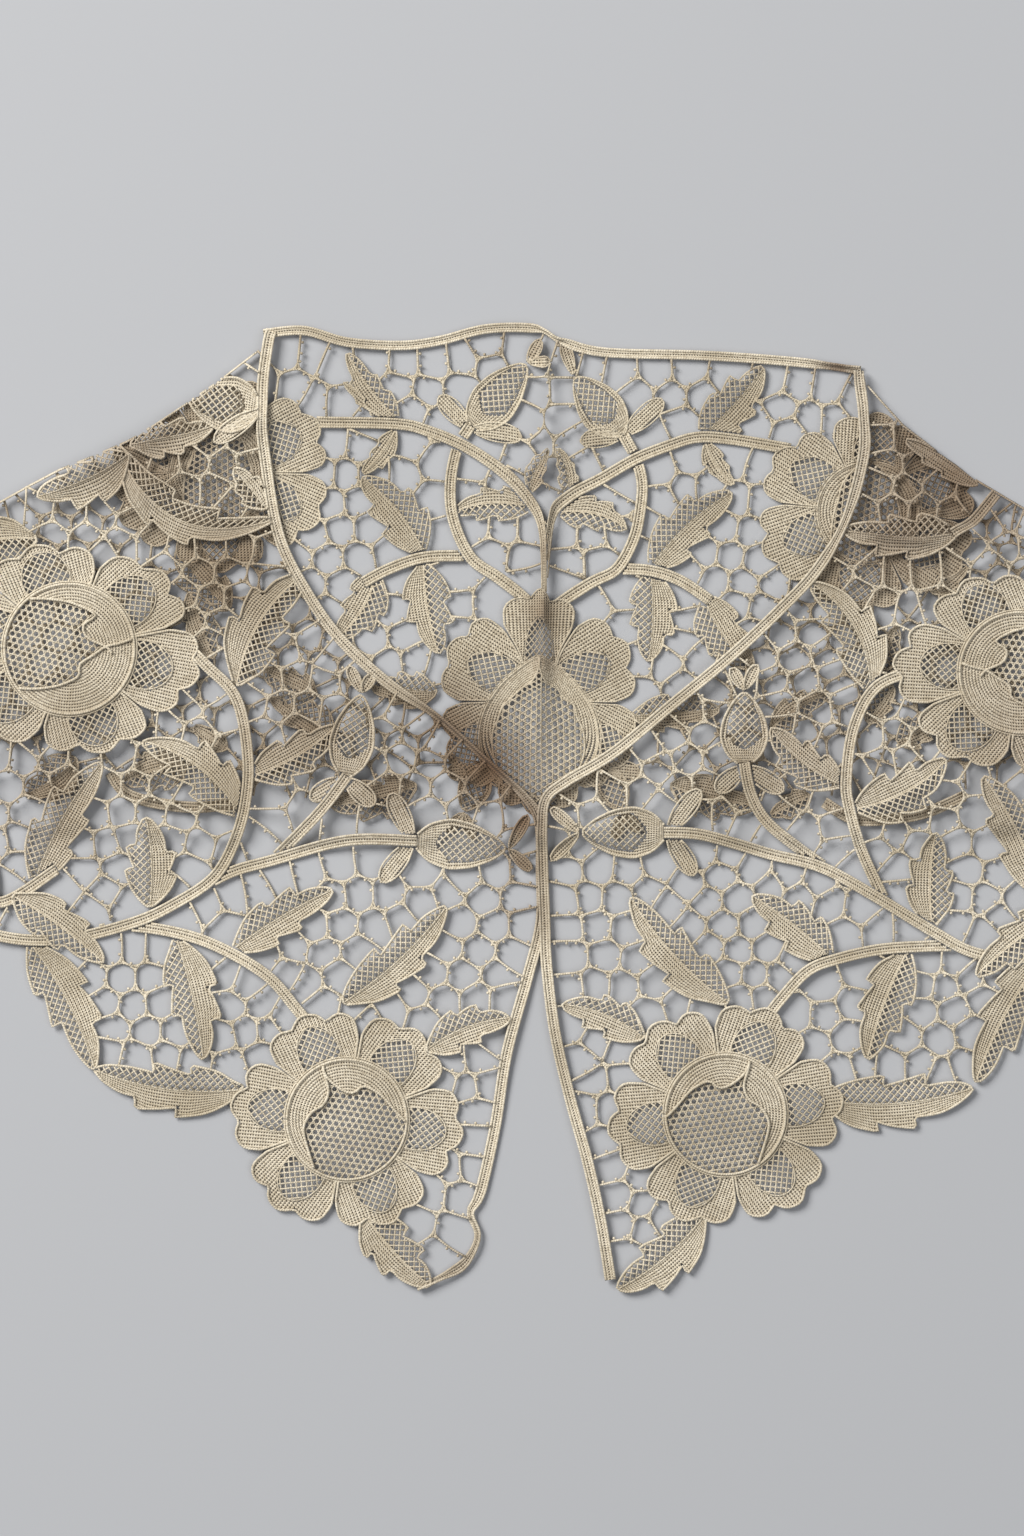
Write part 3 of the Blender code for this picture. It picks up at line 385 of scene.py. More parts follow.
def resampled(points, step):
    """Points about step apart along straight runs between the given points."""
    points = np.asarray(points, float)
    gone = distances(points)
    at = np.linspace(0, gone[-1], max(2, round(gone[-1] / step) + 1))
    return np.column_stack([np.interp(at, gone, points[:, axis]) for axis in (0, 1)])


def rounded(outline):
    """The closed outline with each corner cut twice, for a thread that can't turn sharply."""
    for _ in range(2):
        after = np.roll(outline, -1, axis=0)
        length = np.maximum(np.linalg.norm(after - outline, axis=1), 1e-9)
        step = (after - outline) * np.clip(CORNER_CUT / length, 0, 0.25)[:, None]
        outline = np.stack([outline + step, after - step], axis=1).reshape(-1, 2)
    return np.concatenate([outline, outline[:1]])


def shares_along(length):
    """Shares of a line of this length, a fine step apart."""
    return np.linspace(0, 1, round(length / FINE_STEP) + 1)


def leftward(way):
    """The way, turned to the left by a right angle."""
    return np.array([-way[1], way[0]])


def left_normals(path):
    along = np.gradient(path, axis=0)
    along /= np.maximum(np.linalg.norm(along, axis=1), 1e-9)[:, None]
    return np.column_stack([-along[:, 1], along[:, 0]])


def shifted(path, distance):
    """The path moved to its left by the distance."""
    return path + left_normals(path) * np.reshape(distance, (-1, 1))


def blade(base, tip, width, bend, left_edge, right_edge):
    """A leaf-like outline round a bent midrib."""
    at = leaf_frame(base, tip, bend)
    left = [at(t, w * width / 2) for t, w in left_edge]
    right = [at(t, -w * width / 2) for t, w in right_edge]
    return np.array([*right, np.array(tip, float), *reversed(left)])


def leaf_frame(base, tip, bend):
    """A function from a share of the midrib and a distance to its left to a place in the plan."""
    base, tip = np.array(base, float), np.array(tip, float)
    run = tip - base
    across = leftward(run) / np.linalg.norm(run)

    def at(along, offset):
        along, offset = np.asarray(along, float), np.asarray(offset, float)
        away = bend * 4 * along * (1 - along) + offset
        return base + run * along[..., None] + across * away[..., None]

    return at


def leaf_outline(leaf):
    return blade(leaf.base, leaf.tip, leaf.width, leaf.bend, LEAF_LEFT_EDGE, LEAF_RIGHT_EDGE)


def leaf_shape(leaf, random):
    """The worked outline, with its barbs a little uneven."""
    at = leaf_frame(leaf.base, leaf.tip, leaf.bend)
    edges = {}
    for side, lobes in LEAF_LOBES.items():
        edge = []
        for lobe in lobes:
            knots = np.array(lobe) + random.uniform(-0.012, 0.012, (len(lobe), 2))
            edge.append(smooth_path(at(knots[:, 0], side * knots[:, 1] * leaf.width / 2), 1.5))
        edges[side] = np.concatenate(edge)
    return np.concatenate([edges[-1], [leaf.tip], edges[1][::-1]])


def bud_outlines(bud):
    outlines = [blade(bud.base, bud.tip, bud.width, 0, BUD_EDGE, BUD_EDGE)]
    for tip in bud.sepals:
        outlines.append(blade(bud.base, tip, SEPAL_WIDTH, 0, SEPAL_EDGE, SEPAL_EDGE))
    return outlines


def stem_outline(points, step):
    path = smooth_path(points, step)
    return np.concatenate([shifted(path, -TAPE_WIDTH / 2), shifted(path, TAPE_WIDTH / 2)[::-1]])


def full_turn(count):
    return np.linspace(-math.pi, math.pi, count)


def polar(flower, share, reach):
    """A place in a flower, by shares of half a petal's angle from the first petal and of the reach."""
    turn = math.radians(flower.turn) + share * math.pi / PETALS
    return (flower.centre[0] + flower.reach_x * reach * np.cos(turn),
            flower.centre[1] + flower.reach_y * reach * np.sin(turn))


def petal_rim(flower, petal, step):
    """The scalloped rim of one petal, from side to side."""
    rim = []
    for scallop in PETAL_SCALLOPS:
        rim.append(smooth_path([polar(flower, 2 * petal + share, reach) for share, reach in scallop], step))
    return np.concatenate(rim)


def flower_outline(flower):
    return np.concatenate([petal_rim(flower, petal, 3) for petal in range(PETALS)])


def solid_outlines(leaves, buds, flowers, stems):
    """The motifs' outlines as the solids have them, which the ground's cells keep clear of."""
    outlines = [leaf_outline(leaf) for leaf in leaves]
    for bud in buds:
        outlines += bud_outlines(bud)
    for flower in flowers:
        outlines.append(np.array([
            polar(flower, 2 * petal + share, reach)
            for petal in range(PETALS)
            for scallop in PETAL_SCALLOPS
            for share, reach in scallop
        ]))
    return outlines + [stem_outline(stem, 9) for stem in stems]


def ring_radius(flower, turns):
    """How far the disc's ring is from the flower's centre at each angle."""
    if not flower.ring:
        return np.full(len(turns), float(flower.disc))
    knots = [(turn + lap, share * 20) for lap in (-360, 0, 360) for turn, share in flower.ring]
    dense = smooth_path(knots, 4)
    return flower.disc / 20 * np.interp(np.degrees(turns) % 360, dense[:, 0], dense[:, 1])


def ring_path(flower, turns, scale=1.0):
    reach = ring_radius(flower, turns) * scale
    return np.array(flower.centre, float) + reach[:, None] * np.column_stack([np.cos(turns), np.sin(turns)])


def inside(points, polygon):
    """Which points lie in the polygon, by the crossings of a line to the right."""
    x, y = points[:, 0], points[:, 1]
    found = np.zeros(len(points), bool)
    for (x0, y0), (x1, y1) in zip(polygon, np.roll(polygon, -1, axis=0)):
        if y0 != y1:
            crosses = (y0 > y) != (y1 > y)
            found ^= crosses & (x < x0 + (y - y0) * (x1 - x0) / (y1 - y0))
    return found


def in_any(points, polygons):
    found = np.zeros(len(points), bool)
    for polygon in polygons:
        near = np.flatnonzero(((points > polygon.min(axis=0)) & (points < polygon.max(axis=0))).all(axis=1))
        found[near] |= inside(points[near], polygon)
    return found


def nearest_to(points, path):
    """Each point's distance to an open path, and the way there."""
    nearest = np.full(len(points), np.inf)
    ways = np.zeros_like(points)
    for start, end in zip(path[:-1], path[1:]):
        run = end - start
        share = np.clip((points - start) @ run / max(run @ run, 1e-9), 0, 1)
        way = start + share[:, None] * run - points
        away = np.hypot(way[:, 0], way[:, 1])
        closer = away < nearest
        nearest[closer] = away[closer]
        ways[closer] = way[closer]
    return nearest, ways


def distance_to(points, path):
    return nearest_to(points, path)[0]


def stain_and_shade_at(points):
    """How browned the thread is, from 0 to 1: stains of age together with painted shade."""
    clean = np.ones(len(points))
    for place, reach, strength in STAINS_AND_SHADE:
        away = np.linalg.norm(points - place, axis=1)
        clean *= 1 - strength * np.exp(-((away / reach) ** 2))
    return 1 - clean


def stretches(keep, least=2):
    """The first and last index of each stretch that is kept and at least so many steps long."""
    turns = np.flatnonzero(np.diff(np.concatenate([[0], keep.astype(int), [0]])))
    return [(first, end - 1) for first, end in zip(turns[::2], turns[1::2]) if end - 1 - first >= least]


def spaced(first, last, every):
    """Every so many indices from the first, and the last."""
    return np.unique(np.append(np.arange(first, last, every), last))


def stations(keep, every, least=2):
    """For each stretch that is kept, the indices where a swept thread has a section."""
    return [spaced(first, last, every) for first, last in stretches(keep, least)]


# The ground of open cells


def cell_seeds(ground, motifs, seed):
    """Cell centres spread evenly over what the motifs leave free of the ground."""
    random = np.random.default_rng(seed)
    low, high = ground.min(axis=0), ground.max(axis=0)
    spans = [np.arange(start, end, RASTER) for start, end in zip(low, high)]
    grid = np.stack(np.meshgrid(*spans), axis=-1).reshape(-1, 2)
    free = inside(grid, ground)
    for motif in motifs:
        free &= ~inside(grid, motif)
    grid = grid[free]
    rows = np.arange(low[1], high[1], CELL_PITCH * math.sqrt(3) / 2)
    seeds = np.array([
        (x + (row % 2) * CELL_PITCH / 2, y)
        for row, y in enumerate(rows)
        for x in np.arange(low[0], high[0], CELL_PITCH)
    ])
    seeds += random.uniform(-0.12, 0.12, seeds.shape) * CELL_PITCH
    near = np.min(((grid[:, None] - seeds[None]) ** 2).sum(axis=2), axis=0)
    seeds = seeds[near < RASTER**2]
    for _ in range(RELAX_ROUNDS):
        nearest = np.argmin(((grid[:, None] - seeds[None]) ** 2).sum(axis=2), axis=1)
        count = np.bincount(nearest, minlength=len(seeds))
        sums = np.column_stack([np.bincount(nearest, grid[:, axis], len(seeds)) for axis in (0, 1)])
        held = count > 0
        seeds = sums[held] / count[held, None]
    return seeds


def cell_sides(seeds):
    """The line between each two cells that meet, from corner to corner."""
    found = delaunay_2d_cdt([Vector(p) for p in seeds], [], [], 0, 1e-6, True)
    points = np.array([tuple(p) for p in found[0]])
    triangles = np.array(found[2])
    a, b, c = (points[triangles[:, k]] for k in range(3))
    ab, ac = b - a, c - a
    twice = 2 * (ab[:, 0] * ac[:, 1] - ab[:, 1] * ac[:, 0])
    ab2, ac2 = (ab**2).sum(axis=1), (ac**2).sum(axis=1)
    middles = a + np.column_stack([
        (ac[:, 1] * ab2 - ab[:, 1] * ac2) / twice,
        (ab[:, 0] * ac2 - ac[:, 0] * ab2) / twice,
    ])
    owners = {}
    for index, triangle in enumerate(triangles):
        for p, q, other in ((0, 1, 2), (1, 2, 0), (2, 0, 1)):
            owners.setdefault(tuple(sorted((triangle[p], triangle[q]))), []).append((index, triangle[other]))
    sides = []
    for (p, q), held in owners.items():
        start = middles[held[0][0]]
        if len(held) == 2:
            sides.append((start, middles[held[1][0]]))
            continue
        out = np.array([points[q][1] - points[p][1], points[p][0] - points[q][0]])
        out /= np.linalg.norm(out)
        if out @ (points[held[0][1]] - points[p]) > 0:
            out = -out
        sides.append((start, start + out * 1.5 * CELL_PITCH))
    return sides


# Threads: sections swept along paths


TUBE_SECTIONS = {
    sides: np.array([
        (math.cos(2 * math.pi * k / sides - math.pi / 2), math.sin(2 * math.pi * k / sides - math.pi / 2))
        for k in range(sides)
    ])
    for sides in (4, 5, 6, 8)
}
# A row is a low ridge on a flat base
ROW_SECTION = np.array([(-1.0, 0.0), (1.0, 0.0), (0.0, 1.0)])
ROW_AROUND = np.array([-1.0, 1.0, 0.0])


def placed(name, data, place=(0, 0, 0)):
    """A new object in the scene."""
    made = bpy.data.objects.new(name, data)
    made.location = place
    bpy.context.scene.collection.objects.link(made)
    return made


class Threads:
    """One mesh of many swept threads.

    Each point keeps its distance along its thread, its place round it, and whether the thread is a row."""

    def __init__(self):
        self.points, self.places, self.quads, self.caps = [], [], [], []
        self.count = 0

    def sweep(self, path, section, around, across, up, height, along, in_row):
        """One thread. The section's sizes and heights are given for the whole path or point by point."""
        count, sides = len(path), len(section)
        normals = left_normals(path)
        shape = np.empty((count, sides, 3))
        sideways = section[:, 0] * np.reshape(across, (-1, 1))
        shape[..., :2] = path[:, None] + normals[:, None] * sideways[..., None]
        shape[..., 2] = np.reshape(height, (-1, 1)) + section[:, 1] * np.reshape(up, (-1, 1))
        place = np.empty((count, sides, 3))
        place[..., 0] = np.reshape(along, (-1, 1))
        place[..., 1] = around
        place[..., 2] = in_row
        first = self.count + np.arange(count - 1)[:, None] * sides
        here, beside = first + np.arange(sides), first + np.roll(np.arange(sides), -1)
        self.quads.append(np.stack([here, beside, beside + sides, here + sides], axis=-1).reshape(-1, 4))
        end = self.count + (count - 1) * sides
        self.caps.append(tuple(range(self.count + sides - 1, self.count - 1, -1)))
        self.caps.append(tuple(range(end, end + sides)))
        self.points.append(shape.reshape(-1, 3))
        self.places.append(place.reshape(-1, 3))
        self.count += count * sides

    def tube(self, path, radius, height, sides=5):
        """A round thread."""
        around = 2 * np.arange(sides) / sides - 1
        self.sweep(path, TUBE_SECTIONS[sides], around, radius, radius, height, distances(path), 0)

    def row(self, path, half, rise, height, along):
        """A ridge of close stitches."""
        self.sweep(path, ROW_SECTION, ROW_AROUND, half, rise, height, along, 1)

    def piece(self, name, drape, material, added_shade=None):
        """The finished object, laid by the drape function. The last argument, if given, adds painted shade to
        the stains.
        """
        flat = np.concatenate(self.points)
        points = drape(flat)
        quads = np.concatenate(self.quads)
        mesh = bpy.data.meshes.new(name)
        mesh.from_pydata(points.tolist(), [], [*quads.tolist(), *self.caps])
        places = np.concatenate(self.places).astype(np.float32)
        round_threads = places[quads[:, 0], 2] == 0
        mesh.polygons.foreach_set("use_smooth", np.append(round_threads, np.zeros(len(self.caps), bool)))
        mesh.attributes.new("thread", "FLOAT_VECTOR", "POINT").data.foreach_set("vector", places.ravel())
        stains_and_shade = stain_and_shade_at(flat[:, :2])
        if added_shade:
            stains_and_shade = 1 - (1 - stains_and_shade) * (1 - added_shade(flat[:, :2]))
        mesh.attributes.new("stain_and_shade", "FLOAT", "POINT").data.foreach_set("value", stains_and_shade.astype(np.float32))
        mesh.materials.append(material)
        piece = placed(name, mesh)
        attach(piece, "root")
        return piece


# Stitches: what fills and edges a motif


class Lace:
    """One panel as it is worked: its threads by kind, and the motifs laid so far, where later ones end.

    raised is 1 for a right side and 0 for a wrong side, which has no raised cords."""

    def __init__(self, raised, seed):
        self.motifs, self.ground = Threads(), Threads()
        self.laid = []
        self.raised = raised
        self.random = np.random.default_rng(seed)

    def kept(self, paths, test):
        """For each path, which of its points pass the test and lie in no earlier motif."""
        joined = np.concatenate(paths)
        keep = test(joined) & ~in_any(joined, self.laid)
        return np.split(keep, np.cumsum([len(path) for path in paths])[:-1])

    def rows(self, paths, halves, alongs, test, lift=0.0):
        """Rows of close stitches, each a ridge that touches the next."""
        for path, half, along, keep in zip(paths, halves, alongs, self.kept(paths, test)):
            for at in stations(keep, ROW_EVERY):
                half_here = half[at] if np.ndim(half) else half
                self.motifs.row(path[at], half_here, ROW_RISE, lift - ROW_SINK, along[at])

    def net(self, paths, test, radius=NET_RADIUS):
        """Thin threads that cross, each second one a little higher."""
        for index, (path, keep) in enumerate(zip(paths, self.kept(paths, test))):
            for at in stations(keep, NET_EVERY):
                self.motifs.tube(path[at], radius, NET_CROSSING * (index % 2), sides=4)

    def cord(self, path, radius=CORD_RADIUS, height=0.2, sides=6, bare=True):
        """A raised cord along a line. With bare it ends where an earlier motif starts."""
        path = resampled(path, FINE_STEP)
        keep = ~in_any(path, self.laid if bare else self.laid[:1])
        if not self.raised:
            radius, height = radius * WRONG_SIDE_CORD, 0.0
        for at in stations(keep, CORD_EVERY):
            self.motifs.tube(path[at], radius, height, sides=sides)


def ribs(lace, at, length, offsets, halves, test):
    """Rows side by side along a leaf's frame."""
    t = shares_along(length)
    lace.rows([at(t, offset) for offset in offsets], halves, [t * length] * len(offsets), test)


def everywhere(points):
    return np.ones(len(points), bool)


def within(outline):
    return lambda points: inside(points, outline)


def narrowing(t):
    """How close rows lie to each other along a leaf."""
    return np.minimum(1, np.minimum(0.42 + 1.7 * t, 0.38 + 1.6 * (1 - t)))


def leaf(lace, shape):
    """Rows on one side of the midrib, an open net on the other, and a cord round both."""
    outline = leaf_shape(shape, lace.random)
    at = leaf_frame(shape.base, shape.tip, shape.bend)
    length = math.dist(shape.base, shape.tip)
    t = shares_along(length)
    sides = (-shape.net,) if shape.net else (-1, 1)
    count = math.ceil(shape.width / 2 / ROW_PITCH) + 1
    offsets = [side * (k + 0.5) * ROW_PITCH * narrowing(t) for side in sides for k in range(count)]
    ribs(lace, at, length, offsets, [0.5 * ROW_PITCH * narrowing(t)] * len(offsets), within(outline))
    if shape.net:
        half = shape.width / 2
        slope = math.radians(NET_SLOPE)
        reach = half / math.sin(slope) * shares_along(half / math.sin(slope))
        starts = np.arange(-half, length + half, NET_PITCH / math.sin(slope))
        lines = [
            at((start + lean * reach * math.cos(slope)) / length, shape.net * reach * math.sin(slope))
            for start in starts
            for lean in (-1, 1)
        ]
        lace.net(lines, within(outline))
    lace.cord(at(np.linspace(0, 0.98, 20), np.zeros(20)), MIDRIB_RADIUS, 0.05)
    lace.cord(rounded(outline))
    lace.laid.append(outline)


# A bud's net, in shares of its length and half-width: where it starts, how much its foot curves and its width
BUD_NET_START = 0.24
BUD_NET_ARCH = 0.3
BUD_NET_WIDTH = 0.72
SEPAL_ROW = 0.95 * ROW_PITCH
LOOP_ROW = 0.9


def bud(lace, shape):
    """Rows that sweep up both sides of a net, with two short sepals."""
    outline, *sepals = bud_outlines(shape)
    at = leaf_frame(shape.base, shape.tip, 0)
    length = math.dist(shape.base, shape.tip)
    t = shares_along(length)
    widths = np.interp(t, *zip(*BUD_EDGE, (1.0, 0.1))) * shape.width / 2
    count = round(shape.width / ROW_PITCH)
    shares = (np.arange(count) + 0.5) / count * 2 - 1
    start = np.array(shape.base, float)
    run = (np.array(shape.tip, float) - start) / length
    across = leftward(run)

    def in_net(points):
        along = (points - start) @ run / length
        share = (points - start) @ across / np.interp(along, t, widths)
        arch = BUD_NET_START + BUD_NET_ARCH * share**2
        return (np.abs(share) < BUD_NET_WIDTH) & (along > arch) & inside(points, outline)

    ribs(lace, at, length, [share * widths for share in shares], [widths / count] * count,
         lambda p: inside(p, outline) & ~in_net(p))
    lace.net(crossing_lines(start + run * length / 2, length * 0.6, math.atan2(run[1], run[0])), in_net)
    for tip, edge in zip(shape.sepals, sepals):
        offsets = np.arange(-2, 3) * SEPAL_ROW
        ribs(lace, leaf_frame(shape.base, tip, 0), math.dist(shape.base, tip), offsets, [0.5 * ROW_PITCH] * 5,
             within(edge))
    for loop_tip in shape.loops:
        loop = blade(shape.tip, loop_tip, LOOP_WIDTH, 0, SEPAL_EDGE, SEPAL_EDGE)
        sepals.append(loop)
        middle = resampled([shape.tip, loop_tip], FINE_STEP)
        paths = [middle, shifted(middle, LOOP_ROW), shifted(middle, -LOOP_ROW)]
        alongs = [np.arange(len(middle)) * FINE_STEP] * 3
        lace.rows(paths, [LOOP_ROW / 2] * 3, alongs, within(loop))
    lace.cord(rounded(outline))
    for edge in sepals:
        lace.cord(rounded(edge), CORD_RADIUS * 0.85)
    lace.laid += [outline, *sepals]


def parallel_lines(centre, reach, slope, offsets):
    """Lines at one slope across a square round the centre, each at its own distance from the centre."""
    ahead = np.array([math.cos(slope), math.sin(slope)])
    span = np.arange(-reach, reach, FINE_STEP)
    return [centre + leftward(ahead) * offset + span[:, None] * ahead for offset in offsets]


def crossing_lines(centre, reach, turn):
    """Two families of lines that cross at right angles, taken by turns."""
    offsets = np.arange(-reach, reach, NET_PITCH)
    families = [parallel_lines(centre, reach, turn + lean, offsets) for lean in (math.pi / 4, -math.pi / 4)]
    return [line for pair in zip(*families) for line in pair]


def kagome_lines(centre, reach, turn):
    """Three families of lines that leave large round holes in a ring of small ones."""
    pitch = KAGOME_EDGE * math.sqrt(3)
    offsets = (np.arange(-math.ceil(reach / pitch), math.ceil(reach / pitch)) + 0.5) * pitch
    lines = []
    for sixths in (0, 2, 4):
        lines += parallel_lines(centre, reach, turn + sixths * math.pi / 3, offsets)
    return lines


# The open inset in a petal: how far it starts from the disc, and its half-length and half-width
INSET_START = 3.0
INSET_LONG = 9.0
INSET_WIDE = 6.4
# The reach that the half-width is for, and how much wider a petal's rows are at its rim than at the disc
USUAL_REACH = 35.0
PETAL_FAN = 0.12


def petal(lace, flower, index):
    """One petal: rows that run out to its scallops, round an open inset on the disc."""
    centre = np.array(flower.centre, float)
    rim = petal_rim(flower, index, 1.2)
    turns = np.unwrap(np.arctan2(*(rim - centre).T[::-1]))
    base = ring_path(flower, np.linspace(turns[-1], turns[0], 8), 0.94)
    outline = np.concatenate([rim, base])
    tip = np.array(polar(flower, 2 * index, 1.0))
    reach = np.linalg.norm(tip - centre)
    run = (tip - centre) / reach
    across = leftward(run)
    disc = ring_radius(flower, np.array([math.atan2(run[1], run[0])]))[0]
    start = disc + min(INSET_START, 0.2 * (reach - disc))
    long = min(INSET_LONG, 0.62 * (reach - disc))
    wide = INSET_WIDE * flower.reach_x / USUAL_REACH

    def in_inset(points):
        ahead = (points - centre) @ run - start
        beside = (points - centre) @ across
        return (ahead / long) ** 2 + (beside / wide) ** 2 < 1

    u = np.arange(flower.disc * 0.6, reach + 3, FINE_STEP)
    fan = 1 + PETAL_FAN * (u - flower.disc) / (reach - flower.disc)
    count = math.ceil(reach * 0.5 / ROW_PITCH)
    steps = np.arange(-count, count + 1) * ROW_PITCH
    paths = [centre + u[:, None] * run + (step * fan)[:, None] * across for step in steps]
    halves = [0.5 * ROW_PITCH * fan] * len(paths)
    ring_turn = full_turn(40)
    ring = ring_path(flower, ring_turn[:-1])
    lace.rows(paths, halves, [u] * len(paths),
              lambda p: inside(p, outline) & ~in_inset(p) & ~inside(p, ring))
    lace.net(crossing_lines(centre + run * (start + 1), long + 2, math.atan2(run[1], run[0])),
             lambda p: in_inset(p) & ~inside(p, ring) & inside(p, outline))
    sides = ring_path(flower, turns[[0, -1]])
    lace.cord(np.concatenate([sides[:1], rim, sides[1:]]))
    inset = (centre + run * start + np.outer(np.cos(ring_turn), run) * long
             + np.outer(np.sin(ring_turn), across) * wide)
    for first, last in stretches(~inside(inset, ring) & inside(inset, outline), 1):
        lace.cord(inset[first : last + 1], CORD_RADIUS * 0.6, 0.15, sides=5)


def flower(lace, shape):
    """Six petals round a disc of fine net, which two hoods of close stitching half cover."""
    for index in range(PETALS):
        petal(lace, shape, index)
    all_round = full_turn(61)
    ring = ring_path(shape, all_round[:-1])
    lobes = []
    for hood in shape.hood:
        turns, shares = np.radians([p[0] for p in hood]), np.array([p[1] for p in hood])
        edge = shape.centre + (shares * shape.disc)[:, None] * np.column_stack([np.cos(turns), np.sin(turns)])
        edge = smooth_path(edge, 1.5)
        lobe = np.concatenate([edge, ring_path(shape, np.linspace(turns[-1], turns[0], 24))])
        lobes.append(lobe)
        paths, alongs = [], []
        turn = np.linspace(min(turns) - 0.9, max(turns) + 0.9, 160)
        for scale in np.arange(1 - 0.5 * ROW_PITCH / shape.disc, 0.2, -ROW_PITCH / shape.disc):
            paths.append(resampled(ring_path(shape, turn, scale), FINE_STEP))
            alongs.append(np.arange(len(paths[-1])) * FINE_STEP)
        lace.rows(paths, [0.5 * ROW_PITCH] * len(paths), alongs, within(lobe), HOOD_HEIGHT * lace.raised)
        lace.cord(edge, EDGE_RADIUS, 0.8, bare=False)
    lace.net(kagome_lines(shape.centre, 1.7 * shape.disc, math.radians(shape.turn)),
             lambda p: inside(p, ring) & ~in_any(p, lobes), radius=KAGOME_RADIUS)
    lace.cord(ring_path(shape, all_round), RING_RADIUS, 0.6, bare=False, sides=8)
    lace.cord(ring_path(shape, all_round, 1 + 0.75 / shape.disc), CORD_RADIUS * 0.7, 0.3, bare=False)
    lace.laid.append(flower_outline(shape))


def flatness(path):
    """The share of its width that a tape keeps along its path, less where it has turned on its edge."""
    share = np.ones(len(path))
    for place, reach, left in TURNED:
        away = np.linalg.norm(path - place, axis=1)
        share *= 1 - (1 - left) * np.exp(-((away / reach) ** 4))
    return share


def band(lace, points, height=0.1, width=BAND_WIDTH):
    """A cord down each edge and rows of close stitches between them."""
    path = resampled(smooth_path(points, 1.5), FINE_STEP)
    share = flatness(path)
    reach = (width / 2 - BAND_CORD) * share
    flat = height if lace.raised else 0.0
    for side in (-1, 1):
        level = flat + side * BAND_TILT * (1 - share)
        edge = shifted(path, side * reach)
        for at in stations(lace.kept([edge], everywhere)[0], CORD_EVERY):
            lace.motifs.tube(edge[at], BAND_CORD, level[at], sides=6)
    half = (reach - BAND_CORD * 0.6) / BAND_ROWS
    along = np.arange(len(path)) * FINE_STEP
    for place in range(1 - BAND_ROWS, BAND_ROWS, 2):
        level = flat + place / BAND_ROWS * BAND_TILT * (1 - share)
        row = shifted(path, place * half)
        for at in stations(lace.kept([row], everywhere)[0], CORD_EVERY):
            lace.motifs.row(row[at], half[at] * 1.08, ROW_RISE + 0.08, level[at] - 0.12, along[at])


def stem(lace, points):
    band(lace, points)
    lace.laid.append(stem_outline(points, 3))


def brides(lace, ground, seeds):
    """Thin corded bars between the cells, rounded where they meet, with small knots on them."""
    paths = []
    for start, end in cell_sides(seeds):
        if not inside(np.array([start]), ground)[0]:
            start, end = end, start
        length = np.linalg.norm(end - start)
        if length < SHORTEST_BRIDE:
            continue
        if length > LONGEST_BRIDE:
            end = start + (end - start) * LONGEST_BRIDE / length
            length = LONGEST_BRIDE
        across = leftward(end - start) / length
        t = np.linspace(0, 1, max(3, round(length / FINE_STEP) + 1))
        bow = lace.random.uniform(-BRIDE_BOW, BRIDE_BOW) * length
        paths.append(start + (end - start) * t[:, None] + across * (bow * 4 * t * (1 - t))[:, None])
    meetings = {}
    for path, keep in zip(paths, lace.kept(paths, within(ground))):
        for first, last in stretches(keep):
            for end, ahead in ((0, path[1] - path[0]), (len(path) - 1, path[-2] - path[-1])):
                if end in (first, last):
                    spot = tuple(np.round(path[end], 3))
                    meetings.setdefault(spot, []).append(ahead / np.linalg.norm(ahead))
            first, last = max(first - 1, 0), min(last + 1, len(path) - 1)
            at = spaced(first, last, BRIDE_EVERY)
            radius = BRIDE_RADIUS * (1 + lace.random.uniform(-UNEVEN_BRIDE, UNEVEN_BRIDE, len(at)))
            height = lace.random.uniform(-0.08, 0.08)
            lace.ground.tube(path[at], radius, height, sides=5 if lace.raised else 4)
            picots(lace, path[first : last + 1])
    for spot, ways in meetings.items():
        for index in range(len(ways)):
            for other in range(index):
                bend = np.array([ways[index] * FILLET, (ways[index] + ways[other]) * FILLET * 0.3,
                                 ways[other] * FILLET])
                lace.ground.tube(spot + bend, BRIDE_RADIUS * 0.85, 0.0, sides=4)


def picots(lace, path):
    """Small knots that stand off one side of a bride."""
    run = path[-1] - path[0]
    length = np.linalg.norm(run)
    count = min(3, int(length / PICOT_PITCH))
    side = lace.random.choice((-1, 1))
    for k in range(count):
        if lace.random.uniform() < PICOTS_LEFT_OUT:
            continue
        share = (k + 0.5 + lace.random.uniform(-0.2, 0.2)) / count
        place = path[int(share * (len(path) - 1))]
        out = side * leftward(run) / length
        reach = BRIDE_RADIUS + lace.random.uniform(-0.1, 0.1)
        knot = place + out * (reach + PICOT_STATIONS[:, :1])
        lace.ground.tube(knot, PICOT_STATIONS[:, 1], 0.1, sides=4)


def fold_edge(lace, fold_line, end_line, motifs):
    """The turned edge, where a front passes over into the back, heavier at a motif than at the ground.

    The end line closes the ground from there to the outermost leaf."""
    path = resampled(fold_line, FINE_STEP)
    for first, last in stretches(in_any(path, motifs), 5):
        lace.cord(path[first : last + 1], EDGE_RADIUS, 0.0, bare=False)
    for line in (path, resampled(end_line, FINE_STEP)):
        for at in stations(~in_any(line, motifs), NET_EVERY, 5):
            lace.ground.tube(line[at], BRIDE_RADIUS, 0.0)


# How each layer lies


def lift_at(points):
    """How high the fronts' underside lies: up on the back, and down on the table beyond its hem."""
    hem = shifted(smooth_path(BACK_HEM, 25), BACK_REACH)
    zone = np.concatenate([
        hem, smooth_path(LEFT_FOLD, 30)[::-1], smooth_path(BACK_NECK, 30), smooth_path(RIGHT_FOLD, 30),
    ])
    away = distance_to(points, hem)
    away[inside(points, zone)] = 0
    share = np.clip((RAMP_END - away) / (RAMP_END - RAMP_START), 0, 1)
    return LIFT * share * share * (3 - 2 * share)


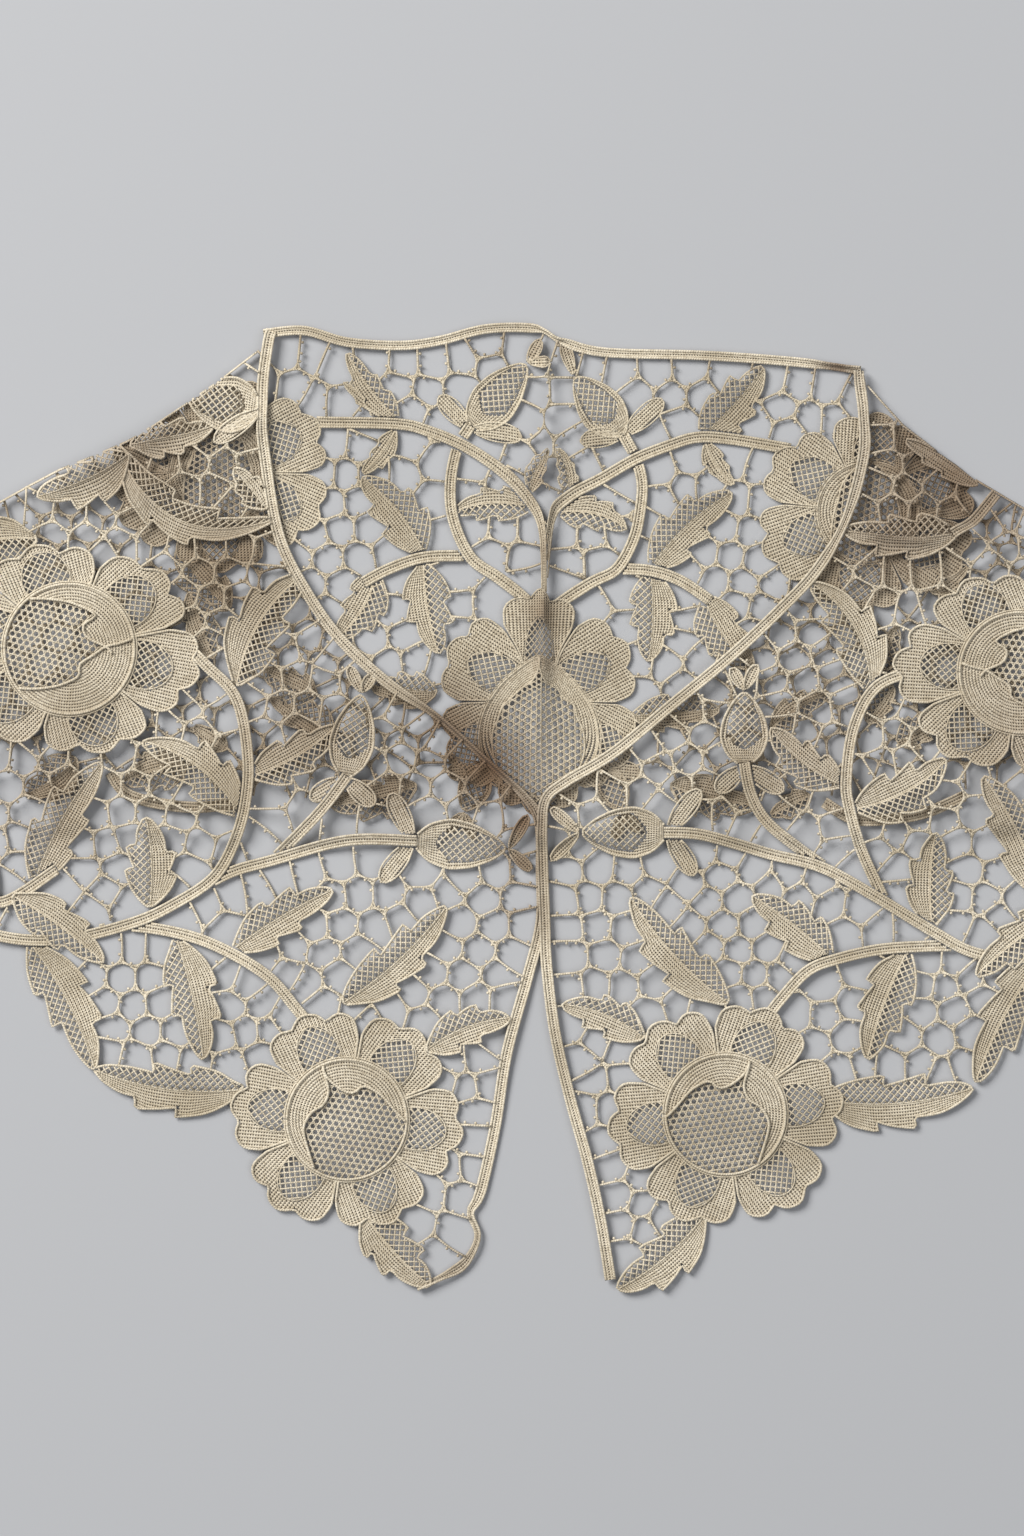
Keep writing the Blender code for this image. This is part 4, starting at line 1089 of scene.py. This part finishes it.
def pressed(points):
    """How far the creases draw the cloth sideways, and how high they and a slow unevenness raise it."""
    raised, drawn = np.zeros(len(points)), np.zeros_like(points)
    for crease in CREASES:
        line = smooth_path(crease.line, 6)
        away, ways = nearest_to(points, line)
        ends = np.minimum(*(np.linalg.norm(points - end, axis=1) for end in line[[0, -1]]))
        fade = np.clip(ends / CREASE_FADE, 0, 1)
        weight = np.exp(-((away / crease.reach) ** 2)) * fade * fade * (3 - 2 * fade)
        raised += crease.height * weight
        drawn += ways * (crease.pull * weight)[:, None]
    x, y = points[:, 0], points[:, 1]
    return drawn, raised + UNEVENNESS * (2 + np.sin(x / 11 + y / 19) + np.sin(x / 17 - y / 9 + 1.3))


def rolled(points, fold, flat, middle):
    """The height of a layer that turns over at the fold."""
    share = np.clip(1 - distance_to(points, smooth_path(fold, PATH_STEP)) / FOLD_ROLL, 0, 1)
    return middle + (flat - middle) * np.sqrt(1 - share * share)


def laid(points, heights, mid):
    """Metres round the origin, with the creases pressed in."""
    drawn, raised = pressed(points)
    return np.column_stack([points + drawn - PLAN_CENTRE, mid + heights + raised]) * MM


FOLD_MIDDLE = CLOTH_MIDDLE + LIFT / 2


def drape_front(fold):
    def drape(points):
        plan = points[:, :2]
        return laid(plan, points[:, 2], rolled(plan, fold, CLOTH_MIDDLE + lift_at(plan), FOLD_MIDDLE))

    return drape


def drape_back(points):
    plan = points[:, :2]
    mid = rolled(plan, LEFT_FOLD, np.full(len(plan), CLOTH_MIDDLE), FOLD_MIDDLE)
    return laid(plan, points[:, 2], rolled(plan, RIGHT_FOLD, mid, FOLD_MIDDLE))


# Panels


def painted_shade_under_fronts(points):
    """How much painted shade the back gets from what lies over it: none within the neck opening."""
    opening = np.concatenate([smooth_path(LEFT_EDGE[:11], 9), smooth_path(RIGHT_EDGE[:11], 9)[::-1]])
    return np.where(inside(points, opening), 0.0, UNDER_FRONTS_SHADE)


def front(name, shapes, edge, fold, hem, side, seed, material):
    """The lace and the ground of one front. side is 1 for the left front and -1 for the right."""
    middle = smooth_path(edge, 9)
    inner = shifted(middle, -side * (TAPE_WIDTH / 2 + SEAM_GAP))
    fold_line = smooth_path(fold, PATH_STEP)
    solid_ground = np.concatenate([inner, np.array(hem, float), fold_line[::-1]])
    outer = np.array([(-side * 30, -170), (-side * 240, -170), (-side * 240, fold[-1][1] - 8)], float)
    tape_side = shifted(middle, -side * TAPE_HOLD * flatness(middle))
    ground = np.concatenate([tape_side, np.array(hem, float), fold_line[::-1]])
    limit = np.concatenate([tape_side, outer, fold_line[::-1]])
    ends = (fold_line, np.array([fold[-1], hem[-1], hem[-2]], float))
    lace = Lace(1, seed)
    return panel(lace, name, shapes, ground, solid_ground, limit, ends, seed, drape_front(fold), material)


def back(material):
    """The lace and the ground of the back, whose ground passes under the fronts to their folds."""
    left, right = smooth_path(LEFT_FOLD, PATH_STEP), smooth_path(RIGHT_FOLD, PATH_STEP)
    middle = smooth_path(BACK_NECK, 6)
    neck = shifted(middle, -(TAPE_WIDTH / 2 + SEAM_GAP))[1:-1]
    tape_side = shifted(middle, -TAPE_HOLD * flatness(middle))[1:-1]
    hem = smooth_path(BACK_HEM, 25)
    ground = np.concatenate([tape_side, right[:-1], hem, left[-2::-1]])
    inset = (shifted(right, -BACK_INSET)[:-1], hem, shifted(left, BACK_INSET)[-2::-1])
    low = np.array([(204, 60), (204, -30), (-204, -30), (-204, 60)], float)
    limit = np.concatenate([tape_side, right[:-1], low, left[-2::-1]])
    shapes = (BACK_LEAVES, BACK_BUDS, BACK_FLOWERS, BACK_STEMS)
    solid_ground = np.concatenate([neck, *inset])
    return panel(Lace(0, 5), "back_panel", shapes, ground, solid_ground, limit, None, 5, drape_back, material)


def panel(lace, name, shapes, ground, solid_ground, limit, ends, seed, drape, material):
    """Works the motifs from the foremost to the hindmost, then the ground between them."""
    leaves, buds, flowers, stems = shapes
    motifs = solid_outlines(*shapes)
    seeds = cell_seeds(solid_ground, motifs, seed)
    lace.laid.append(outside_of(limit))
    over = LEAVES_OVER_STEMS * lace.raised
    for shape in flowers:
        flower(lace, shape)
    for shape in leaves[:over]:
        leaf(lace, shape)
    for points in stems:
        stem(lace, points)
    for shape in buds:
        bud(lace, shape)
    for shape in leaves[over:]:
        leaf(lace, shape)
    brides(lace, ground, seeds)
    if ends is not None:
        fold_edge(lace, *ends, motifs)
    pieces = []
    for kind, threads in {"lace": lace.motifs, "ground": lace.ground}.items():
        pieces.append(threads.piece(f"{name}_{kind}", drape, material, None if lace.raised else painted_shade_under_fronts))
    return pieces


def outside_of(limit):
    """One polygon that covers what lies outside the limit, so that nothing is worked there."""
    far = 400.0
    ring = np.array([(-far, -far), (far, -far), (far, far), (-far, far), (-far, -far)])
    loop = np.roll(limit, -int(limit[:, 1].argmin()), axis=0)
    return np.concatenate([ring, loop, loop[:1], ring[:1]])


def tape(name, points, drape, material, raised, height, width=BAND_WIDTH):
    """A corded tape along an edge of the collar, with its middle at the height."""
    lace = Lace(raised, 1)
    band(lace, points, height, width)
    return lace.motifs.piece(name, drape, material)


# Materials


PIN_PERIOD = 0.8
TWIST_PERIOD = 0.75
# The colour of a painted pinhole: near-black painted shade where a hole would show shadow
PINHOLE_SHADE = (0.025, 0.016, 0.008, 1.0)
# The mapped range of each pattern, from where it starts to where it is full
GROOVE_SIDE = (0.4, 0.95)
FLANK_SIDE = (0.3, 0.72)
PIN_WAVE = (-0.1, 0.3)
PIN_SIDE = (0.42, 0.62)
AGE_RANGE = (0.42, 0.68)
SPECK_RANGE = (0.42, 0.64)


def finish(name, **inputs):
    """A new material and its shader, with constants on the shader's own sockets."""
    material = bpy.data.materials.new(name)
    material.use_nodes = True
    shader = material.node_tree.nodes["Principled BSDF"]
    for socket, value in inputs.items():
        shader.inputs[socket.replace("_", " ")].default_value = value
    return material, shader


def thread_material(name, light, dark, stain_and_shade_brown):
    """Twisted thread with painted shade in its grooves and down its flanks, pinholes in rows painted as dark
    dots of shade, a little age, and stains mixed with painted shade.
    """
    material, shader = finish(
        name, Roughness=0.82, Sheen_Weight=0.12, Sheen_Roughness=0.5, Specular_IOR_Level=0.25,
    )
    nodes, links = material.node_tree.nodes, material.node_tree.links

    def node(kind, inputs, **settings):
        """A new node, whose sockets take a value or what another node gives."""
        made = nodes.new(kind)
        for key, value in settings.items():
            setattr(made, key, value)
        for socket, value in inputs.items():
            if isinstance(value, bpy.types.NodeSocket):
                links.new(value, made.inputs[socket])
            else:
                made.inputs[socket].default_value = value
        return made

    def math_node(operation, *values):
        return node("ShaderNodeMath", dict(enumerate(values)), operation=operation).outputs[0]

    def mix(factor, a, b):
        return node("ShaderNodeMix", {"Factor": factor, "A": a, "B": b}, data_type="RGBA").outputs["Result"]

    def noise(scale, detail):
        return node("ShaderNodeTexNoise", {"Scale": scale, "Detail": detail, "Vector": place}).outputs["Fac"]

    def between(value, ends):
        inputs = {"Value": value, "From Min": ends[0], "From Max": ends[1]}
        return node("ShaderNodeMapRange", inputs, interpolation_type="SMOOTHSTEP").outputs["Result"]

    def shaded(tint, share, factor, colour):
        return mix(math_node("MULTIPLY", factor, share), tint, colour)

    place = node("ShaderNodeTexCoord", {}).outputs["Object"]
    thread = node("ShaderNodeAttribute", {}, attribute_name="thread").outputs["Vector"]
    stain_and_shade = node("ShaderNodeAttribute", {}, attribute_name="stain_and_shade").outputs["Fac"]
    along, around, in_row = node("ShaderNodeSeparateXYZ", {0: thread}).outputs
    side = math_node("ABSOLUTE", around)
    # painted shade: rows darker in the grooves between them, where shade would fall
    groove_shade = math_node("MULTIPLY", between(side, GROOVE_SIDE), in_row)
    # painted shade: round threads darker down their flanks, as if turned away from the light
    flank_shade = math_node("MULTIPLY", between(side, FLANK_SIDE), math_node("SUBTRACT", 1.0, in_row))
    # pinholes painted as near-black dots of shade along the rows' grooves
    pin_wave = math_node("COSINE", math_node("MULTIPLY", along, 2 * math.pi / PIN_PERIOD))
    pinhole_shade = math_node("MULTIPLY", between(pin_wave, PIN_WAVE), between(side, PIN_SIDE))
    tint = shaded(light, 0.6, between(noise(26.0, 3.0), AGE_RANGE), dark)
    tint = shaded(tint, 0.5, between(noise(1000.0, 2.0), SPECK_RANGE), dark)
    # stains of age mixed with painted shade in creases, turned tapes, overlaps and under the fronts
    tint = mix(stain_and_shade, tint, stain_and_shade_brown)
    tint = shaded(tint, 0.25, groove_shade, stain_and_shade_brown)
    tint = shaded(tint, 0.58, flank_shade, stain_and_shade_brown)
    tint = shaded(tint, 0.95, math_node("MULTIPLY", pinhole_shade, in_row), PINHOLE_SHADE)
    links.new(tint, shader.inputs["Base Color"])
    coil = math_node("MULTIPLY", along, 2 * math.pi / TWIST_PERIOD)
    twist = math_node("SINE", math_node("ADD", coil, math_node("MULTIPLY", around, math.pi)))
    bump = node("ShaderNodeBump", {"Strength": 0.5, "Distance": 0.00012, "Height": twist})
    links.new(bump.outputs["Normal"], shader.inputs["Normal"])
    return material


# The cut of each panel, in metres: its size laid flat, and the area of its motifs, brides and tape
Cut = namedtuple("Cut", "size area")
BACK_CUT = Cut((0.410, 0.150), 0.0236)
LEFT_CUT = Cut((0.203, 0.284), 0.0202)
RIGHT_CUT = Cut((0.203, 0.276), 0.0191)

# Stage, light and camera

# Where the photo's middle lies on the plan, how much of the plan its height shows, and how far the camera is
PHOTO_CENTRE = (-7.5, 13.35)
VIEW_HEIGHT = 460.8
CAMERA_AWAY = 1500.0
SENSOR = 36.0
FLOOR_HALF = 3.0
FLOOR_GAP = 0.0002


def camera():
    data = bpy.data.cameras.new("camera")
    data.sensor_width = SENSOR
    data.lens = SENSOR * CAMERA_AWAY / VIEW_HEIGHT
    place = np.array([*np.subtract(PHOTO_CENTRE, PLAN_CENTRE), CAMERA_AWAY]) * MM
    bpy.context.scene.camera = placed("camera", data, place)


def area_light(name, place, size, power, colour):
    """A round light that faces the collar."""
    data = bpy.data.lights.new(name, "AREA")
    data.shape = "DISK"
    data.size = size
    data.energy = power
    data.color = colour
    made = placed(name, data, place)
    made.rotation_mode = "QUATERNION"
    made.rotation_quaternion = (-Vector(place)).to_track_quat("-Z", "Y")


def stage():
    mesh = bpy.data.meshes.new("floor")
    corners = [(x * FLOOR_HALF, y * FLOOR_HALF, 0) for x, y in ((-1, -1), (1, -1), (1, 1), (-1, 1))]
    mesh.from_pydata(corners, [], [(0, 1, 2, 3)])
    mesh.materials.append(
        finish("floor", Base_Color=(0.46, 0.47, 0.49, 1.0), Roughness=0.95, Specular_IOR_Level=0.1)[0]
    )
    floor = placed("floor", mesh, (0, 0, -FLOOR_GAP))
    area_light("key", (-1.8, 1.5, 1.9), 1.7, 118.0, (1.0, 0.98, 0.95))
    area_light("fill", (1.6, -1.0, 2.8), 2.8, 24.0, (0.97, 0.98, 1.0))
    world = bpy.data.worlds.new("studio")
    world.use_nodes = True
    background = world.node_tree.nodes["Background"]
    background.inputs["Color"].default_value = (0.95, 0.97, 1.0, 1.0)
    background.inputs["Strength"].default_value = 0.23
    bpy.context.scene.world = world
    bpy.context.scene.view_settings.view_transform = "Standard"


# Thread colours: pale, aged, and a brown for stains and for painted shade
RIGHT_SIDE = ((0.79, 0.71, 0.56, 1), (0.40, 0.33, 0.22, 1), (0.17, 0.10, 0.055, 1))
WRONG_SIDE = ((0.72, 0.64, 0.49, 1), (0.35, 0.285, 0.19, 1), (0.15, 0.09, 0.05, 1))
TAPE_SHADES = ((0.80, 0.72, 0.57, 1), (0.44, 0.37, 0.26, 1), (0.12, 0.062, 0.03, 1))


def main():
    right_side = thread_material("lace_right_side", *RIGHT_SIDE)
    wrong_side = thread_material("lace_wrong_side", *WRONG_SIDE)
    cord = thread_material("tape_cord", *TAPE_SHADES)
    left_edge = [(-79.5, 144.6), *LEFT_EDGE, (-36, -142.5)]
    right_edge = [(96.4, 132.4), *RIGHT_EDGE]
    # The right edge's tape lies over the left one's in the V
    tapes = {
        "neck_tape_back": tape("neck_tape_back_cords", BACK_NECK, drape_back, cord, 0, 0.0, NECK_WIDTH),
        "edge_tape_left": tape("edge_tape_left_cords", left_edge, drape_front(LEFT_FOLD), cord, 1, -0.25),
        "edge_tape_right": tape("edge_tape_right_cords", right_edge, drape_front(RIGHT_FOLD), cord, 1, 0.6),
    }
    left_shapes = (LEFT_LEAVES, LEFT_BUDS, LEFT_FLOWERS, LEFT_STEMS)
    right_shapes = (RIGHT_LEAVES, RIGHT_BUDS, RIGHT_FLOWERS, RIGHT_STEMS)
    left = front("front_left", left_shapes, LEFT_EDGE, LEFT_FOLD, LEFT_HEM, 1, 11, right_side)
    right = front("front_right", right_shapes, RIGHT_EDGE, RIGHT_FOLD, RIGHT_HEM, -1, 12, right_side)
    panels = (
        ("back_panel", back(wrong_side), "lace_wrong_side", "neck_tape_back", BACK_CUT, []),
        ("front_left", left, "lace_right_side", "edge_tape_left", LEFT_CUT, ["back_panel_lace"]),
        ("front_right", right, "lace_right_side", "edge_tape_right", RIGHT_CUT, ["back_panel_lace"]),
    )
    for node, (lace, ground), slot, tape_node, cut, below in panels:
        for piece in (lace, ground):
            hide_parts(node)
        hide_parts(tape_node)
        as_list(below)
    stage()
    camera()


main()
